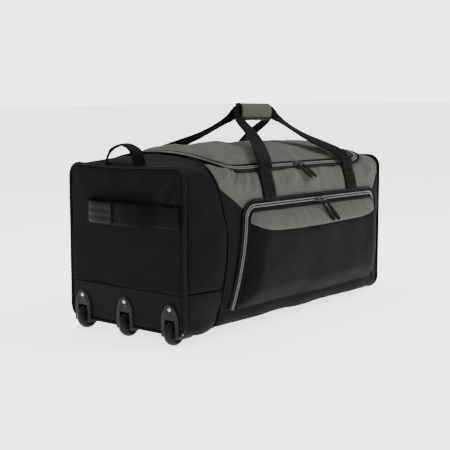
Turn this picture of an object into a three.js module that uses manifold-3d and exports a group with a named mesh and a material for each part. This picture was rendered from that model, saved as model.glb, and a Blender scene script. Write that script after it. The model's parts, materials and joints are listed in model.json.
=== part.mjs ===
// A rolling duffel bag: a soft box of padded cloth with a U-zipped lid, a front pocket, two carry
// straps joined by a grip wrap, and three wheels let into one end of its base.
// Millimetres, +Z up. The bag is drawn level, with the wheel-end seam at X = 0, the middle of its
// width at Y = 0 and the underside of its base at Z = 0; the front is on -Y. Last of all it is set
// down on its wheels and its far edge, with the origin on the floor under its middle.
import * as THREE from 'three';
import { mergeVertices } from 'three/addons/utils/BufferGeometryUtils.js';
import Module from 'manifold-3d';

const wasm = await Module();
wasm.setup();

// Body
const LENGTH = 762; // wheel-end seam to far-end seam
const WIDTH = 350; // across the end panels
const HEIGHT = 352; // of the end panels
const CORNER = 30; // radius of the end panels' corners
const SIDE_BULGE = 22; // the front and back stand out this far past the end seams
const LID_RISE = 40; // crown of the lid over the end panels
const CLOTH = 3; // padded wall
const BOARD = 2.5; // plastic stiffeners
const GAP = 0.4; // clearance between pieces that touch
const PIPING = 3.5; // radius of the corded seams
const GUSSET = 98.5; // wheel-end seam to the seam round the body
const WEAR_HEIGHT = 88; // reinforced band round the wheel end
// Lid and zips
const LID_EDGE = 110; // wheel-end seam to the main zip
const LID_FAR = 48; // far-end seam to the main zip
const LID_CORNER = 80;
const ZIP_HALF = 1.7; // half the width of one row of teeth with its tape
const ZIP_THICK = 2.4;
const ZIP_PITCH = 4.9; // between the two rows of a closed zip
// Front pocket
const POCKET_TOP = 263;
const POCKET_DEPTH = 22;
const POCKET_ZIP_PITCH = 6;
const POCKET_SLOPE = 45; // width of the sloping margin round the pocket
// Straps and handles
const STRAP_WIDTH = 46;
const WEBBING = 3;
const STRAP_SPACING = 338; // between the two roots of one strap
const STRAP_SHIFT = 50; // middle of the roots past the middle of the body
const STRAP_MIDDLE = LENGTH / 2 + STRAP_SHIFT;
const GRIP_SHIFT = 18; // grip centre past the middle of the roots
const GRIP_X = STRAP_MIDDLE + GRIP_SHIFT;
const GRIP_HEIGHT = 113; // grip centre above the end panels
const GRIP_LENGTH = 118;
const GRIP_TALL = 40;
const GRIP_DEEP = 20;
const HANDLE_WIDTH = 49;
const HANDLE_HEIGHT = 248;
const HANDLE_PROUD = 25;
const LOOP_WIDTH = 26;
const LOOP_SPAN = 100;
// Zip sliders, parked this far past the middle of the strap roots, and their pulls
const MAIN_SLIDERS = { main_slider_left: -41, main_slider_right: -21 };
const POCKET_SLIDERS = { pocket_slider_left: 8, pocket_slider_right: 29 };
const MAIN_PULL = { length: 54.9, lean: 38 };
const POCKET_PULL = { length: 60.9, lean: 30 };
// Wheels
const WHEEL_RADIUS = 28;
const WHEEL_WIDTH = 22;
const WHEEL_SPREAD = 134; // middle wheel to either outer wheel
const AXLE_X = 9;
const AXLE_Z = 4;
const AXLE_RADIUS = 4;
const HUB_RADIUS = 16.5;
const HOUSING_WIDTH = 50;
const HOUSING_TOP = 66;
const HOUSING_DEPTH = 44; // wheel-end seam to the back of the wheel well
const WHEEL_ROOM = 3.2; // round the wheel in its well
const RIVET_Z = 55;
const RIVET_RADIUS = 2.4;

const LOOKS = {
  blackCloth: { color: 0x17181a, roughness: 0.85, metalness: 0 },
  greyCloth: { color: 0x6c6a65, roughness: 0.85, metalness: 0 },
  wearCloth: { color: 0x131416, roughness: 0.6, metalness: 0 },
  webbing: { color: 0x101113, roughness: 0.8, metalness: 0 },
  piping: { color: 0x0e0f10, roughness: 0.5, metalness: 0 },
  zip: { color: 0x8c9088, roughness: 0.5, metalness: 0 },
  board: { color: 0x1c1d1f, roughness: 0.5, metalness: 0 },
  shellPlastic: { color: 0x2a2d2e, roughness: 0.4, metalness: 0 },
  tyreRubber: { color: 0x1d2021, roughness: 0.5, metalness: 0 },
  hubPlastic: { color: 0x232627, roughness: 0.35, metalness: 0 },
  steel: { color: 0xc9cbc8, roughness: 0.3, metalness: 1 },
  slider: { color: 0x1a1b1c, roughness: 0.3, metalness: 0.8 },
  pullRubber: { color: 0x0d0d0e, roughness: 0.6, metalness: 0 },
};

const mix = THREE.MathUtils.lerp;
const clamp = THREE.MathUtils.clamp;
const ease = (t) => Math.sin((clamp(t, 0, 1) * Math.PI) / 2);
const vector = (x, y, z) => new THREE.Vector3(x, y, z);
const X_AXIS = vector(1, 0, 0);
const bag = new THREE.Group();

function add(name, look, geometry) {
  const mesh = new THREE.Mesh(geometry, new THREE.MeshStandardMaterial(LOOKS[look]));
  mesh.name = name;
  bag.add(mesh);
  return mesh;
}

// The body's outline, from the middle of the base round the front to the middle of the lid.
// Each point: y, z, and its shares of the side bulge and of the lid's rise.
const SHOULDER = 10; // the outline's point at the main zip
const CREST = 13; // and at the middle of the lid
const POINTS = 2 * CREST;
const POCKET_K = 8; // at the pocket zip
const WEAR_K = 5; // at the top of the wear band
const BASE_K = 2; // at the edge of the flat base
const HALF_OUTLINE = [
  [0, 0, 0, 0],
  [-WIDTH / 4, 0, 0, 0],
  [-(WIDTH / 2 - 25), 0, 0, 0],
  [-(WIDTH / 2 - 3), 12, 0.18, 0],
  [-WIDTH / 2, 45, 0.4, 0],
  [-WIDTH / 2, WEAR_HEIGHT, 0.68, 0],
  [-WIDTH / 2, mix(WEAR_HEIGHT, POCKET_TOP, 0.35), 0.95, 0],
  [-WIDTH / 2, mix(WEAR_HEIGHT, POCKET_TOP, 0.7), 1, 0],
  [-WIDTH / 2, POCKET_TOP, 0.82, 0],
  [-WIDTH / 2, HEIGHT - 37, 0.27, 0],
  [-(WIDTH / 2 - 8), HEIGHT - 13, 0, 0],
  [-(WIDTH / 2 - 38), HEIGHT, -0.1, 0.18],
  [-WIDTH * 0.215, HEIGHT, 0, 0.8],
  [0, HEIGHT, 0, 1],
];

function outline(bulge, rise) {
  const points = [];
  for (let k = 0; k < POINTS; k += 1) {
    const [y, z, out, up] = HALF_OUTLINE[k > CREST ? POINTS - k : k];
    const side = k > CREST ? -1 : 1;
    points.push(vector(0, side * (y - out * bulge), z + up * rise));
  }
  return new THREE.CatmullRomCurve3(points, true, 'catmullrom', 0.5);
}
const SLACK = outline(0, 0);
const FULL = outline(SIDE_BULGE, LID_RISE);

// A point on the body's skin at x and at outline place k, and the same point moved outwards.
function onSkin(x, k) {
  const t = k / POINTS;
  const nearEnd = Math.min(x, LENGTH - x);
  const side = ease(nearEnd / 110);
  const rise = ease(Math.min(x / 280, (LENGTH - x) / 150));
  const slack = SLACK.getPoint(t);
  const full = FULL.getPoint(t);
  return vector(x, mix(slack.y, full.y, side), mix(slack.z, full.z, rise));
}
function outward(x, k) {
  const alongX = onSkin(x + 1, k).sub(onSkin(x - 1, k));
  const alongK = onSkin(x, k + 0.02).sub(onSkin(x, k - 0.02));
  return alongX.cross(alongK).normalize();
}
function offSkin(x, k, out) {
  return onSkin(x, k).addScaledVector(outward(x, k), out);
}

// A layer of cloth on the skin: x and k are its edges, out its inner and outer face.
function sheet(name, look, { x, k, out = [-CLOTH, 0], steps, lift = () => 0 }) {
  const geometry = new THREE.BoxGeometry(1, 1, 1, steps[0], steps[1], 1);
  const place = geometry.attributes.position;
  for (let i = 0; i < place.count; i += 1) {
    const kHere = mix(k[0], k[1], place.getY(i) + 0.5);
    const [from, to] = typeof x === 'function' ? x(kHere) : x;
    const xHere = mix(from, to, place.getX(i) + 0.5);
    const outHere = mix(out[0], out[1], place.getZ(i) + 0.5) + lift(xHere, kHere);
    const point = offSkin(xHere, kHere, outHere);
    place.setXYZ(i, point.x, point.y, point.z);
  }
  return add(name, look, geometry);
}

// A bar swept along at(t), which gives its centre and the way its upper face looks.
const flatBar = (steps) => new THREE.BoxGeometry(2, 2, 1, 1, 1, steps);
const roundBar = (steps) => new THREE.CylinderGeometry(1, 1, 1, 8, steps).rotateX(Math.PI / 2);

function sweep(name, look, bar, at, half) {
  const place = bar.attributes.position;
  for (let i = 0; i < place.count; i += 1) {
    const t = clamp(place.getZ(i) + 0.5, 0, 1);
    const { centre, up } = at(t);
    const ahead = at(Math.min(t + 0.004, 1)).centre.sub(at(Math.max(t - 0.004, 0)).centre).normalize();
    const rise = up.clone().addScaledVector(ahead, -up.dot(ahead)).normalize();
    const across = rise.clone().cross(ahead);
    const [wide, thick] = half(t);
    const point = centre.clone();
    point.addScaledVector(across, place.getX(i) * wide).addScaledVector(rise, place.getY(i) * thick);
    place.setXYZ(i, point.x, point.y, point.z);
  }
  return add(name, look, bar);
}

// Plates: a shape in the Y-Z plane given depth along +X, and one in the X-Z plane along -Y.
function plateFacingX(shape, x, depth) {
  const geometry = new THREE.ExtrudeGeometry(shape, { depth, bevelEnabled: false, curveSegments: 6 });
  const turn = new THREE.Matrix4().makeBasis(vector(0, 1, 0), vector(0, 0, 1), vector(1, 0, 0));
  return geometry.applyMatrix4(turn).translate(x, 0, 0);
}
function plateFacingY(shape, y, depth) {
  const geometry = new THREE.ExtrudeGeometry(shape, { depth, bevelEnabled: false, curveSegments: 6 });
  return geometry.rotateX(Math.PI / 2).translate(0, y, 0);
}

function solid(geometry) {
  const bare = geometry.clone();
  bare.deleteAttribute('normal');
  bare.deleteAttribute('uv');
  const merged = mergeVertices(bare);
  const triVerts = new Uint32Array(merged.index.array);
  return new wasm.Manifold(new wasm.Mesh({
    numProp: 3, vertProperties: merged.attributes.position.array, triVerts,
  }));
}
function asGeometry(body) {
  const mesh = body.getMesh();
  const geometry = new THREE.BufferGeometry();
  geometry.setAttribute('position', new THREE.BufferAttribute(mesh.vertProperties, 3));
  geometry.setIndex(new THREE.BufferAttribute(mesh.triVerts, 1));
  return geometry;
}
function cut(geometry, tools) {
  return asGeometry(tools.reduce((body, tool) => body.subtract(solid(tool)), solid(geometry)));
}

// Wheel housings and what is cut away for them.
const WHEEL_PLACES = { front: -WHEEL_SPREAD, middle: 0, rear: WHEEL_SPREAD };
const WELL_TOP = AXLE_Z + WHEEL_RADIUS + WHEEL_ROOM + 8;
const END_FACE = -2; // outer face of the wheel-end panel
const END_THICK = 4;
const FLANGE = 3;

function wellNotches() {
  const wide = HOUSING_WIDTH - 2 + 2 * GAP;
  const deep = HOUSING_DEPTH + GAP + 20;
  const tall = WELL_TOP + GAP + 20;
  return Object.values(WHEEL_PLACES).map((y) => (
    new THREE.BoxGeometry(deep, wide, tall).translate(deep / 2 - 20, y, tall / 2 - 20)));
}
function rivetHoles() {
  return Object.values(WHEEL_PLACES).map((y) => (
    new THREE.CylinderGeometry(RIVET_RADIUS + GAP, RIVET_RADIUS + GAP, 40, 12)
      .rotateZ(Math.PI / 2).translate(0, y, RIVET_Z)));
}

function housing(name, y) {
  const flange = new THREE.Shape();
  const half = HOUSING_WIDTH / 2;
  const shoulder = 20;
  flange.moveTo(-half, -6);
  flange.lineTo(half, -6);
  flange.lineTo(half, shoulder);
  flange.absellipse(0, shoulder, half, HOUSING_TOP - shoulder, 0, Math.PI, false, 0);
  const front = END_FACE - GAP - FLANGE;
  const profile = new THREE.Shape();
  const round = 9;
  profile.moveTo(front, WELL_TOP);
  profile.lineTo(front, -8 + round);
  profile.absarc(front + round, -8 + round, round, Math.PI, 1.5 * Math.PI, false);
  profile.absarc(HOUSING_DEPTH - round, -8 + round, round, 1.5 * Math.PI, 2 * Math.PI, false);
  profile.lineTo(HOUSING_DEPTH, WELL_TOP);
  const wellRadius = WHEEL_RADIUS + WHEEL_ROOM;
  const well = new THREE.CylinderGeometry(wellRadius, wellRadius, WHEEL_WIDTH + 6, 24);
  const bore = new THREE.CylinderGeometry(AXLE_RADIUS + GAP, AXLE_RADIUS + GAP, 80, 12);
  const rivetHole = new THREE.CylinderGeometry(RIVET_RADIUS + GAP, RIVET_RADIUS + GAP, 40, 12);
  const block = solid(plateFacingY(profile, half - 1, HOUSING_WIDTH - 2));
  const body = block.add(solid(plateFacingX(flange, front, FLANGE)))
    .subtract(solid(well.translate(AXLE_X, 0, AXLE_Z)))
    .subtract(solid(bore.translate(AXLE_X, 0, AXLE_Z)))
    .subtract(solid(rivetHole.rotateZ(Math.PI / 2).translate(0, 0, RIVET_Z)));
  add(name, 'shellPlastic', asGeometry(body)).position.y = y;
}

// Lathe profiles are [radius, height] pairs; the turned piece lies along Y.
function turned(name, look, profile, segments, position) {
  const points = profile.map(([radius, height]) => new THREE.Vector2(radius, height));
  const mesh = add(name, look, new THREE.LatheGeometry(points, segments));
  mesh.position.copy(position);
  return mesh;
}

function wheel(name, y) {
  const centre = vector(AXLE_X, y, AXLE_Z);
  const edge = WHEEL_WIDTH / 2;
  const inner = HUB_RADIUS + GAP;
  turned(`tyre_${name}`, 'tyreRubber', [
    [inner, -edge + 1.5], [WHEEL_RADIUS - 6, -edge], [WHEEL_RADIUS - 1.6, -edge + 3.5], [WHEEL_RADIUS, 0],
    [WHEEL_RADIUS - 1.6, edge - 3.5], [WHEEL_RADIUS - 6, edge], [inner, edge - 1.5], [inner, -edge + 1.5],
  ], 20, centre);
  const bore = AXLE_RADIUS + GAP;
  turned(`hub_${name}`, 'hubPlastic', [
    [bore, -edge], [8, -edge], [8, -5], [13, -5], [13, -9], [HUB_RADIUS, -9], [HUB_RADIUS, 9], [13, 9],
    [13, 5], [8, 5], [8, edge], [bore, edge], [bore, -edge],
  ], 16, centre);
  const axleEnd = HOUSING_WIDTH / 2 - 1;
  turned(`axle_${name}`, 'steel', [
    [0, -axleEnd], [AXLE_RADIUS, -axleEnd], [AXLE_RADIUS, axleEnd], [0, axleEnd],
  ], 12, centre);
}

function rivet(name, y) {
  const head = FLANGE + GAP - END_FACE + GAP;
  const tail = END_THICK + END_FACE + BOARD + 2 * GAP;
  const mesh = turned(`rivet_${name}`, 'steel', [
    [0, -tail - 1.5], [4.5, -tail - 1.5], [4.5, -tail], [RIVET_RADIUS, -tail],
    [RIVET_RADIUS, head], [5, head], [4, head + 1.6], [0, head + 2.4],
  ], 12, vector(0, y, RIVET_Z));
  mesh.rotation.z = Math.PI / 2;
}

// The end panels' outline, from the middle of the bottom up the front and over to the rear.
function endOutline(inset) {
  const [half, low, high] = [WIDTH / 2 - inset, inset, HEIGHT - inset];
  const radius = CORNER - inset;
  const path = new THREE.Path();
  path.moveTo(-GAP / 2, low);
  path.lineTo(-(half - radius), low);
  path.absarc(-(half - radius), low + radius, radius, 1.5 * Math.PI, Math.PI, true);
  path.absarc(-(half - radius), high - radius, radius, Math.PI, Math.PI / 2, true);
  path.absarc(half - radius, high - radius, radius, Math.PI / 2, 0, true);
  path.absarc(half - radius, low + radius, radius, 0, -Math.PI / 2, true);
  path.lineTo(GAP / 2, low);
  return path.getPoints(4);
}
const PIPING_INSET = 1;
const PANEL_INSET = PIPING_INSET + PIPING + GAP;

// The point at t along an outline whose corners are spaced evenly in t.
function alongOutline(points, t) {
  const steps = points.length - 1;
  const before = Math.min(Math.floor(t * steps + 1e-6), steps - 1);
  return points[before].clone().lerp(points[before + 1], t * steps - before);
}
function endPiping(name, x, points) {
  sweep(name, 'piping', roundBar(points.length - 1), (t) => {
    const { x: y, y: z } = alongOutline(points, t);
    return { centre: vector(x, y, z), up: X_AXIS };
  }, () => [PIPING, PIPING]);
}

function wheelEnd() {
  const whole = solid(plateFacingX(new THREE.Shape(endOutline(PANEL_INSET)), END_FACE, END_THICK));
  const upper = new THREE.BoxGeometry(99, WIDTH, HEIGHT).translate(0, 0, WEAR_HEIGHT + HEIGHT / 2);
  const lower = new THREE.BoxGeometry(99, WIDTH, HEIGHT).translate(0, 0, WEAR_HEIGHT - GAP - HEIGHT / 2);
  add('wheel_end_panel', 'blackCloth', asGeometry(whole.intersect(solid(upper))));
  const tools = [...wellNotches(), ...rivetHoles()];
  add('wheel_end_wear_panel', 'wearCloth', cut(asGeometry(whole.intersect(solid(lower))), tools));
  const board = new THREE.Shape(endOutline(PANEL_INSET + 6));
  const boardX = END_FACE + END_THICK + GAP;
  add('wheel_end_board', 'board', cut(plateFacingX(board, boardX, BOARD), tools));
  const pastHousings = WHEEL_SPREAD + HOUSING_WIDTH / 2 + PIPING;
  const aboveHousings = ({ x: y, y: z }) => Math.abs(y) > pastHousings || z > CORNER;
  endPiping('wheel_end_piping', 0, endOutline(PIPING_INSET).filter(aboveHousings));
  for (const [name, y] of Object.entries(WHEEL_PLACES)) {
    housing(`housing_${name}`, y);
    wheel(name, y);
    rivet(name, y);
  }
}

function farEnd() {
  const shape = new THREE.Shape(endOutline(PANEL_INSET));
  add('far_end_panel', 'blackCloth', plateFacingX(shape, LENGTH + END_FACE, END_THICK));
  endPiping('far_end_piping', LENGTH, endOutline(PIPING_INSET));
}

// Cloth walls, each between its seams.
const SEAM = 0.03; // gap at a seam, in outline places
const SKIN_START = PIPING + GAP;
const SKIN_END = LENGTH - PIPING - GAP;
const mirrored = ([from, to]) => [POINTS - to, POINTS - from];

function base() {
  const half = WIDTH / 2 - 25 - GAP;
  const sole = new THREE.BoxGeometry(SKIN_END - SKIN_START, 2 * half, CLOTH);
  sole.translate(LENGTH / 2, 0, CLOTH / 2);
  add('base_panel', 'wearCloth', cut(sole, wellNotches()));
  const inset = 5;
  const boardStart = END_FACE + END_THICK + BOARD + 2 * GAP;
  const boardLength = SKIN_END - inset - boardStart;
  const board = new THREE.BoxGeometry(boardLength, 2 * (half - inset), BOARD);
  board.translate(boardStart + boardLength / 2, 0, CLOTH + GAP + BOARD / 2);
  add('base_board', 'board', cut(board, wellNotches()));
}

function bothSides(names, look, layer) {
  sheet(names[0], look, layer);
  sheet(names[1], look, { ...layer, k: mirrored(layer.k) });
}

function walls() {
  const gussetX = [SKIN_START, GUSSET - GAP / 2];
  const bodyX = [GUSSET + GAP / 2, SKIN_END];
  const wear = { x: gussetX, k: [BASE_K + SEAM, WEAR_K - SEAM / 2], steps: [3, 9] };
  for (const [name, k] of [['wear_band_front', wear.k], ['wear_band_rear', mirrored(wear.k)]]) {
    const band = sheet(name, 'wearCloth', { ...wear, k });
    band.geometry = cut(band.geometry, wellNotches());
  }
  sheet('wheel_end_gusset', 'blackCloth', { x: gussetX, k: [WEAR_K, POINTS - WEAR_K], steps: [3, 48] });
  bothSides(['front_panel', 'rear_panel'], 'blackCloth', {
    x: bodyX, k: [BASE_K + SEAM, POCKET_K - SEAM], steps: [14, 18],
  });
  bothSides(['front_yoke', 'rear_yoke'], 'greyCloth', {
    x: bodyX, k: [POCKET_K, SHOULDER - SEAM], steps: [14, 6],
  });
  sheet('far_top_panel', 'greyCloth', {
    x: [LENGTH - LID_FAR + 4, SKIN_END], k: [SHOULDER, POINTS - SHOULDER], steps: [2, 12],
  });
  const seamCord = 2;
  sweep('gusset_piping', 'piping', roundBar(64), (t) => {
    const k = mix(BASE_K + 1 / 3, POINTS - BASE_K - 1 / 3, t);
    return { centre: offSkin(GUSSET, k, seamCord + 1.2), up: outward(GUSSET, k) };
  }, () => [seamCord, seamCord]);
}

// The main zip runs round three sides of the lid; the lid is sewn on along its rear edge.
// Outlines round the lid are drawn in x and in mm up from the shoulder.
const MAIN_ZIP_RISE = 3; // from the shoulder to the zip's front run
const K_MM = 37; // length of one outline place beside the shoulder
function zipOutline(inset) {
  const [left, right] = [LID_EDGE + inset, LENGTH - LID_FAR - inset];
  const [front, rear] = [MAIN_ZIP_RISE + inset, 5.85 * K_MM];
  const radius = LID_CORNER - inset;
  const path = new THREE.Path();
  path.moveTo(left, rear);
  path.lineTo(left, front + radius);
  path.absarc(left + radius, front + radius, radius, Math.PI, 1.5 * Math.PI, false);
  path.absarc(right - radius, front + radius, radius, 1.5 * Math.PI, 2 * Math.PI, false);
  path.lineTo(right, rear);
  return path;
}
function zipRow(name, inset) {
  const path = zipOutline(inset);
  sweep(name, 'zip', flatBar(44), (t) => {
    const point = path.getPointAt(t);
    const k = SHOULDER + point.y / K_MM;
    return { centre: offSkin(point.x, k, -1), up: outward(point.x, k) };
  }, () => [ZIP_HALF, ZIP_THICK / 2]);
}
function lid() {
  const inset = ZIP_PITCH + ZIP_HALF + 2;
  const front = MAIN_ZIP_RISE + inset;
  const radius = LID_CORNER - inset;
  sheet('lid_panel', 'greyCloth', {
    x: (k) => {
      const fromEdge = (k - SHOULDER) * K_MM - front;
      const short = Math.max(radius - fromEdge, 0);
      const corner = radius - Math.sqrt(Math.max(radius * radius - short * short, 0));
      return [LID_EDGE + inset + corner, LENGTH - LID_FAR - inset - corner];
    },
    k: [SHOULDER + front / K_MM, POINTS - SHOULDER - 0.07],
    steps: [12, 14],
  });
  zipRow('main_zip_body_row', 0);
  zipRow('main_zip_lid_row', ZIP_PITCH);
}

// The pocket's edge in x and height: up the wheel-end side, along the top and down the far side.
// The zip follows it; the panel inside it stands off the body and hangs from its bottom edge.
const POCKET_LOW = 40;
const POCKET_CORNER = 34;
const POCKET_START = 134; // wheel-end seam to the foot of the zip
const POCKET_SIDE = 166; // and to its upright stretch
const POCKET_FAR_START = 24; // the same two from the far end
const POCKET_FAR_SIDE = 55;
function pocketEdge() {
  const shoulder = POCKET_TOP - POCKET_CORNER;
  const waist = mix(POCKET_LOW, shoulder, 0.38);
  const [far, farFoot] = [LENGTH - POCKET_FAR_SIDE, LENGTH - POCKET_FAR_START];
  const path = new THREE.Path();
  path.moveTo(POCKET_START, POCKET_LOW);
  path.quadraticCurveTo(POCKET_SIDE - 14, waist, POCKET_SIDE, shoulder);
  path.absarc(POCKET_SIDE + POCKET_CORNER, shoulder, POCKET_CORNER, Math.PI, Math.PI / 2, true);
  path.absarc(far - POCKET_CORNER, shoulder, POCKET_CORNER, Math.PI / 2, 0, true);
  path.quadraticCurveTo(far + 9, waist, farFoot, POCKET_LOW);
  return path;
}
const POCKET_STEPS = 56;

// The outline place at a height on the front.
function placeAtHeight(z) {
  let [low, high] = [BASE_K + 1, SHOULDER];
  while (high - low > 1e-4) {
    const middle = (low + high) / 2;
    if (SLACK.getPoint(middle / POINTS).z < z) low = middle;
    else high = middle;
  }
  return low;
}
function pocketOutline(inset) {
  const curve = pocketEdge();
  const outline = [];
  for (let i = 0; i <= POCKET_STEPS; i += 1) {
    const ahead = curve.getTangentAt(i / POCKET_STEPS);
    const inwards = new THREE.Vector2(ahead.y, -ahead.x);
    outline.push(curve.getPointAt(i / POCKET_STEPS).addScaledVector(inwards, inset));
  }
  return outline;
}
function pocketRow(name, inset, out) {
  const points = pocketOutline(inset).map(({ x, y: z }) => offSkin(x, placeAtHeight(z), out));
  sweep(name, 'zip', flatBar(POCKET_STEPS), (t) => (
    { centre: alongOutline(points, t), up: vector(0, -1, 0) }
  ), () => [ZIP_HALF, ZIP_THICK / 2]);
}
const POCKET_INSET = POCKET_ZIP_PITCH + ZIP_HALF + 2;
const POCKET_PANEL_TOP = POCKET_TOP - POCKET_INSET;
function pocket() {
  const outline = pocketOutline(POCKET_INSET);
  const crossing = (points, z) => {
    const after = clamp(points.findIndex((point) => point.y >= z), 1, points.length - 1);
    const [from, to] = [points[after - 1], points[after]];
    return mix(from.x, to.x, clamp((z - from.y) / (to.y - from.y), 0, 1));
  };
  const leftSide = outline.slice(0, POCKET_STEPS / 2);
  const rightSide = outline.slice(POCKET_STEPS / 2).reverse();
  const height = (k) => SLACK.getPoint(k / POINTS).z;
  const edges = (k) => [crossing(leftSide, height(k)), crossing(rightSide, height(k))];
  sheet('pocket_panel', 'blackCloth', {
    x: edges,
    k: [placeAtHeight(POCKET_LOW), placeAtHeight(POCKET_PANEL_TOP - 0.5)],
    out: [1, 1 + CLOTH],
    steps: [22, 14],
    lift: (x, k) => {
      const [left, right] = edges(k);
      const z = height(k);
      const margin = Math.min(x - left, right - x, z - POCKET_LOW, POCKET_PANEL_TOP - z);
      return POCKET_DEPTH * ease(margin / POCKET_SLOPE);
    },
  });
  pocketRow('pocket_zip_body_row', 0, 2);
  pocketRow('pocket_zip_flap_row', POCKET_ZIP_PITCH, 2.2);
}

// Carry straps. Each is sewn to the body below the zip, bends freely above its tabs and rises to
// the grip. side is -1 at the front and 1 at the rear.
const TAB_TOP = 9.3;
const STRAP_K = 9.5;
const GRIP_Z = HEIGHT + GRIP_HEIGHT;
const ROOTS = [STRAP_MIDDLE - STRAP_SPACING / 2, STRAP_MIDDLE + STRAP_SPACING / 2];
const STRAP_OUT = GAP + WEBBING / 2;

function strapTab(name, side, root, from) {
  const k = [from, TAB_TOP];
  sheet(name, 'webbing', {
    x: [root - STRAP_WIDTH / 2, root + STRAP_WIDTH / 2],
    k: side < 0 ? k : mirrored(k),
    out: [GAP, GAP + WEBBING],
    steps: [4, side < 0 ? 6 : 27],
  });
}

function carryStrap(name, side) {
  const place = (x, k, out) => {
    const point = offSkin(x, k, out);
    return point.setY(point.y * -side);
  };
  const lean = [10, -10];
  const inGrip = side * (WEBBING / 2 + GAP);
  const halfGrip = GRIP_LENGTH / 2;
  const leg = (end) => {
    const root = ROOTS[end];
    const toGrip = end === 0 ? -1 : 1;
    return [
      place(root, STRAP_K, STRAP_OUT),
      place(root, STRAP_K + 0.3, 5),
      place(root + lean[end], SHOULDER + 0.4, 12),
      vector(mix(root, GRIP_X + toGrip * halfGrip, 0.6), side * 88, mix(HEIGHT, GRIP_Z, 0.5)),
      vector(GRIP_X + toGrip * (halfGrip + 30), side * 22, GRIP_Z - 16),
      vector(GRIP_X + toGrip * (halfGrip + 8), inGrip, GRIP_Z),
      vector(GRIP_X + toGrip * halfGrip * 0.4, inGrip, GRIP_Z),
    ];
  };
  const points = [...leg(0), ...leg(1).reverse()];
  const path = new THREE.CatmullRomCurve3(points, false, 'centripetal');
  const base = outward(ROOTS[0], STRAP_K);
  base.y *= -side;
  sweep(name, 'webbing', flatBar(36), (t) => {
    const climb = ease((0.5 - Math.abs(t - 0.5)) / 0.35);
    const centre = path.getPointAt(t);
    centre.y = side * Math.max(side * centre.y, Math.abs(inGrip));
    centre.z = Math.min(centre.z, GRIP_Z);
    return { centre, up: base.clone().lerp(vector(0, side, 0), climb) };
  }, (t) => {
    const nearGrip = ease((0.5 - Math.abs(t - 0.5)) / 0.35);
    return [mix(STRAP_WIDTH / 2, GRIP_TALL / 2 - WEBBING - 1, nearGrip), WEBBING / 2];
  });
}

// The wrap: a rear half with the lower lip, and a flap over the top and down the front.
function gripWrap() {
  const wall = 3;
  const half = GRIP_DEEP / 2;
  const [low, high] = [GRIP_Z - GRIP_TALL / 2, GRIP_Z + GRIP_TALL / 2];
  const bracket = (points) => {
    const shape = new THREE.Shape(points.map(([y, z]) => new THREE.Vector2(y, z)));
    return plateFacingX(shape, GRIP_X - GRIP_LENGTH / 2, GRIP_LENGTH);
  };
  add('grip_wrap_base', 'greyCloth', bracket([
    [-half, low], [half, low], [half, high - wall - GAP], [half - wall, high - wall - GAP],
    [half - wall, low + wall], [-half, low + wall],
  ]));
  add('grip_wrap_flap', 'greyCloth', bracket([
    [half, high], [-half, high], [-half, low + wall + GAP], [-half + wall, low + wall + GAP],
    [-half + wall, high - wall], [half, high - wall],
  ]));
}

// Webbing handles across the ends, and the grab loop in the top seam of the wheel end.
function endHandle() {
  const flat = END_FACE - GAP - WEBBING / 2;
  const proud = END_FACE - HANDLE_PROUD;
  const points = [
    [flat, 112], [flat, 104], [proud + 6, 84], [proud, 50], [proud, 10], [proud - 3, -25],
    [proud + 3, -62], [flat, -92], [flat, -110], [flat, -164],
  ].map(([x, y]) => vector(x, y, HANDLE_HEIGHT));
  const path = new THREE.CatmullRomCurve3(points, false, 'centripetal');
  const at = (t) => {
    const centre = path.getPointAt(t);
    centre.x = Math.min(centre.x, flat);
    return { centre, up: vector(-1, 0, 0) };
  };
  sweep('end_handle', 'webbing', flatBar(26), at, () => [HANDLE_WIDTH / 2, WEBBING / 2]);
  sweep('end_handle_pad', 'greyCloth', flatBar(8), (t) => {
    const { centre, up } = at(mix(0.14, 0.37, t));
    return { centre: centre.addScaledVector(up, WEBBING + GAP), up };
  }, () => [HANDLE_WIDTH / 2 - 2, WEBBING / 2]);
}

function pullHandle() {
  const flat = LENGTH + END_FACE + END_THICK + GAP + WEBBING / 2;
  const proud = LENGTH - END_FACE + HANDLE_PROUD;
  const points = [-100, -88, -52, 0, 52, 88, 100].map((y, i) => {
    const x = [flat, flat, proud - 3, proud, proud - 3, flat, flat][i];
    return vector(x, y, HANDLE_HEIGHT);
  });
  const path = new THREE.CatmullRomCurve3(points, false, 'centripetal');
  sweep('pull_handle', 'webbing', flatBar(22), (t) => {
    const centre = path.getPointAt(t);
    centre.x = Math.max(centre.x, flat);
    return { centre, up: vector(1, 0, 0) };
  }, () => [HANDLE_WIDTH / 2 - 2, WEBBING / 2]);
}

const LOOP_FOOT = vector(6, 12, HEIGHT + 7);
function topLoop() {
  const half = LOOP_SPAN / 2;
  const point = (y, x, z) => LOOP_FOOT.clone().add(vector(x, y, z));
  const path = new THREE.CatmullRomCurve3([
    point(half, 0, 0), point(half - 3, 0, 9), point(half - 16, 3, 26), point(0, 5, 37),
    point(-half + 16, 3, 26), point(-half + 3, 0, 9), point(-half, 0, 0),
  ], false, 'centripetal');
  sweep('top_loop', 'webbing', flatBar(22), (t) => {
    const turn = ease((0.5 - Math.abs(t - 0.5)) / 0.4);
    return { centre: path.getPointAt(t), up: vector(-1, 0, 0).lerp(vector(-0.1, 0, 1), turn) };
  }, () => [LOOP_WIDTH / 2, WEBBING / 2]);
}

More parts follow.
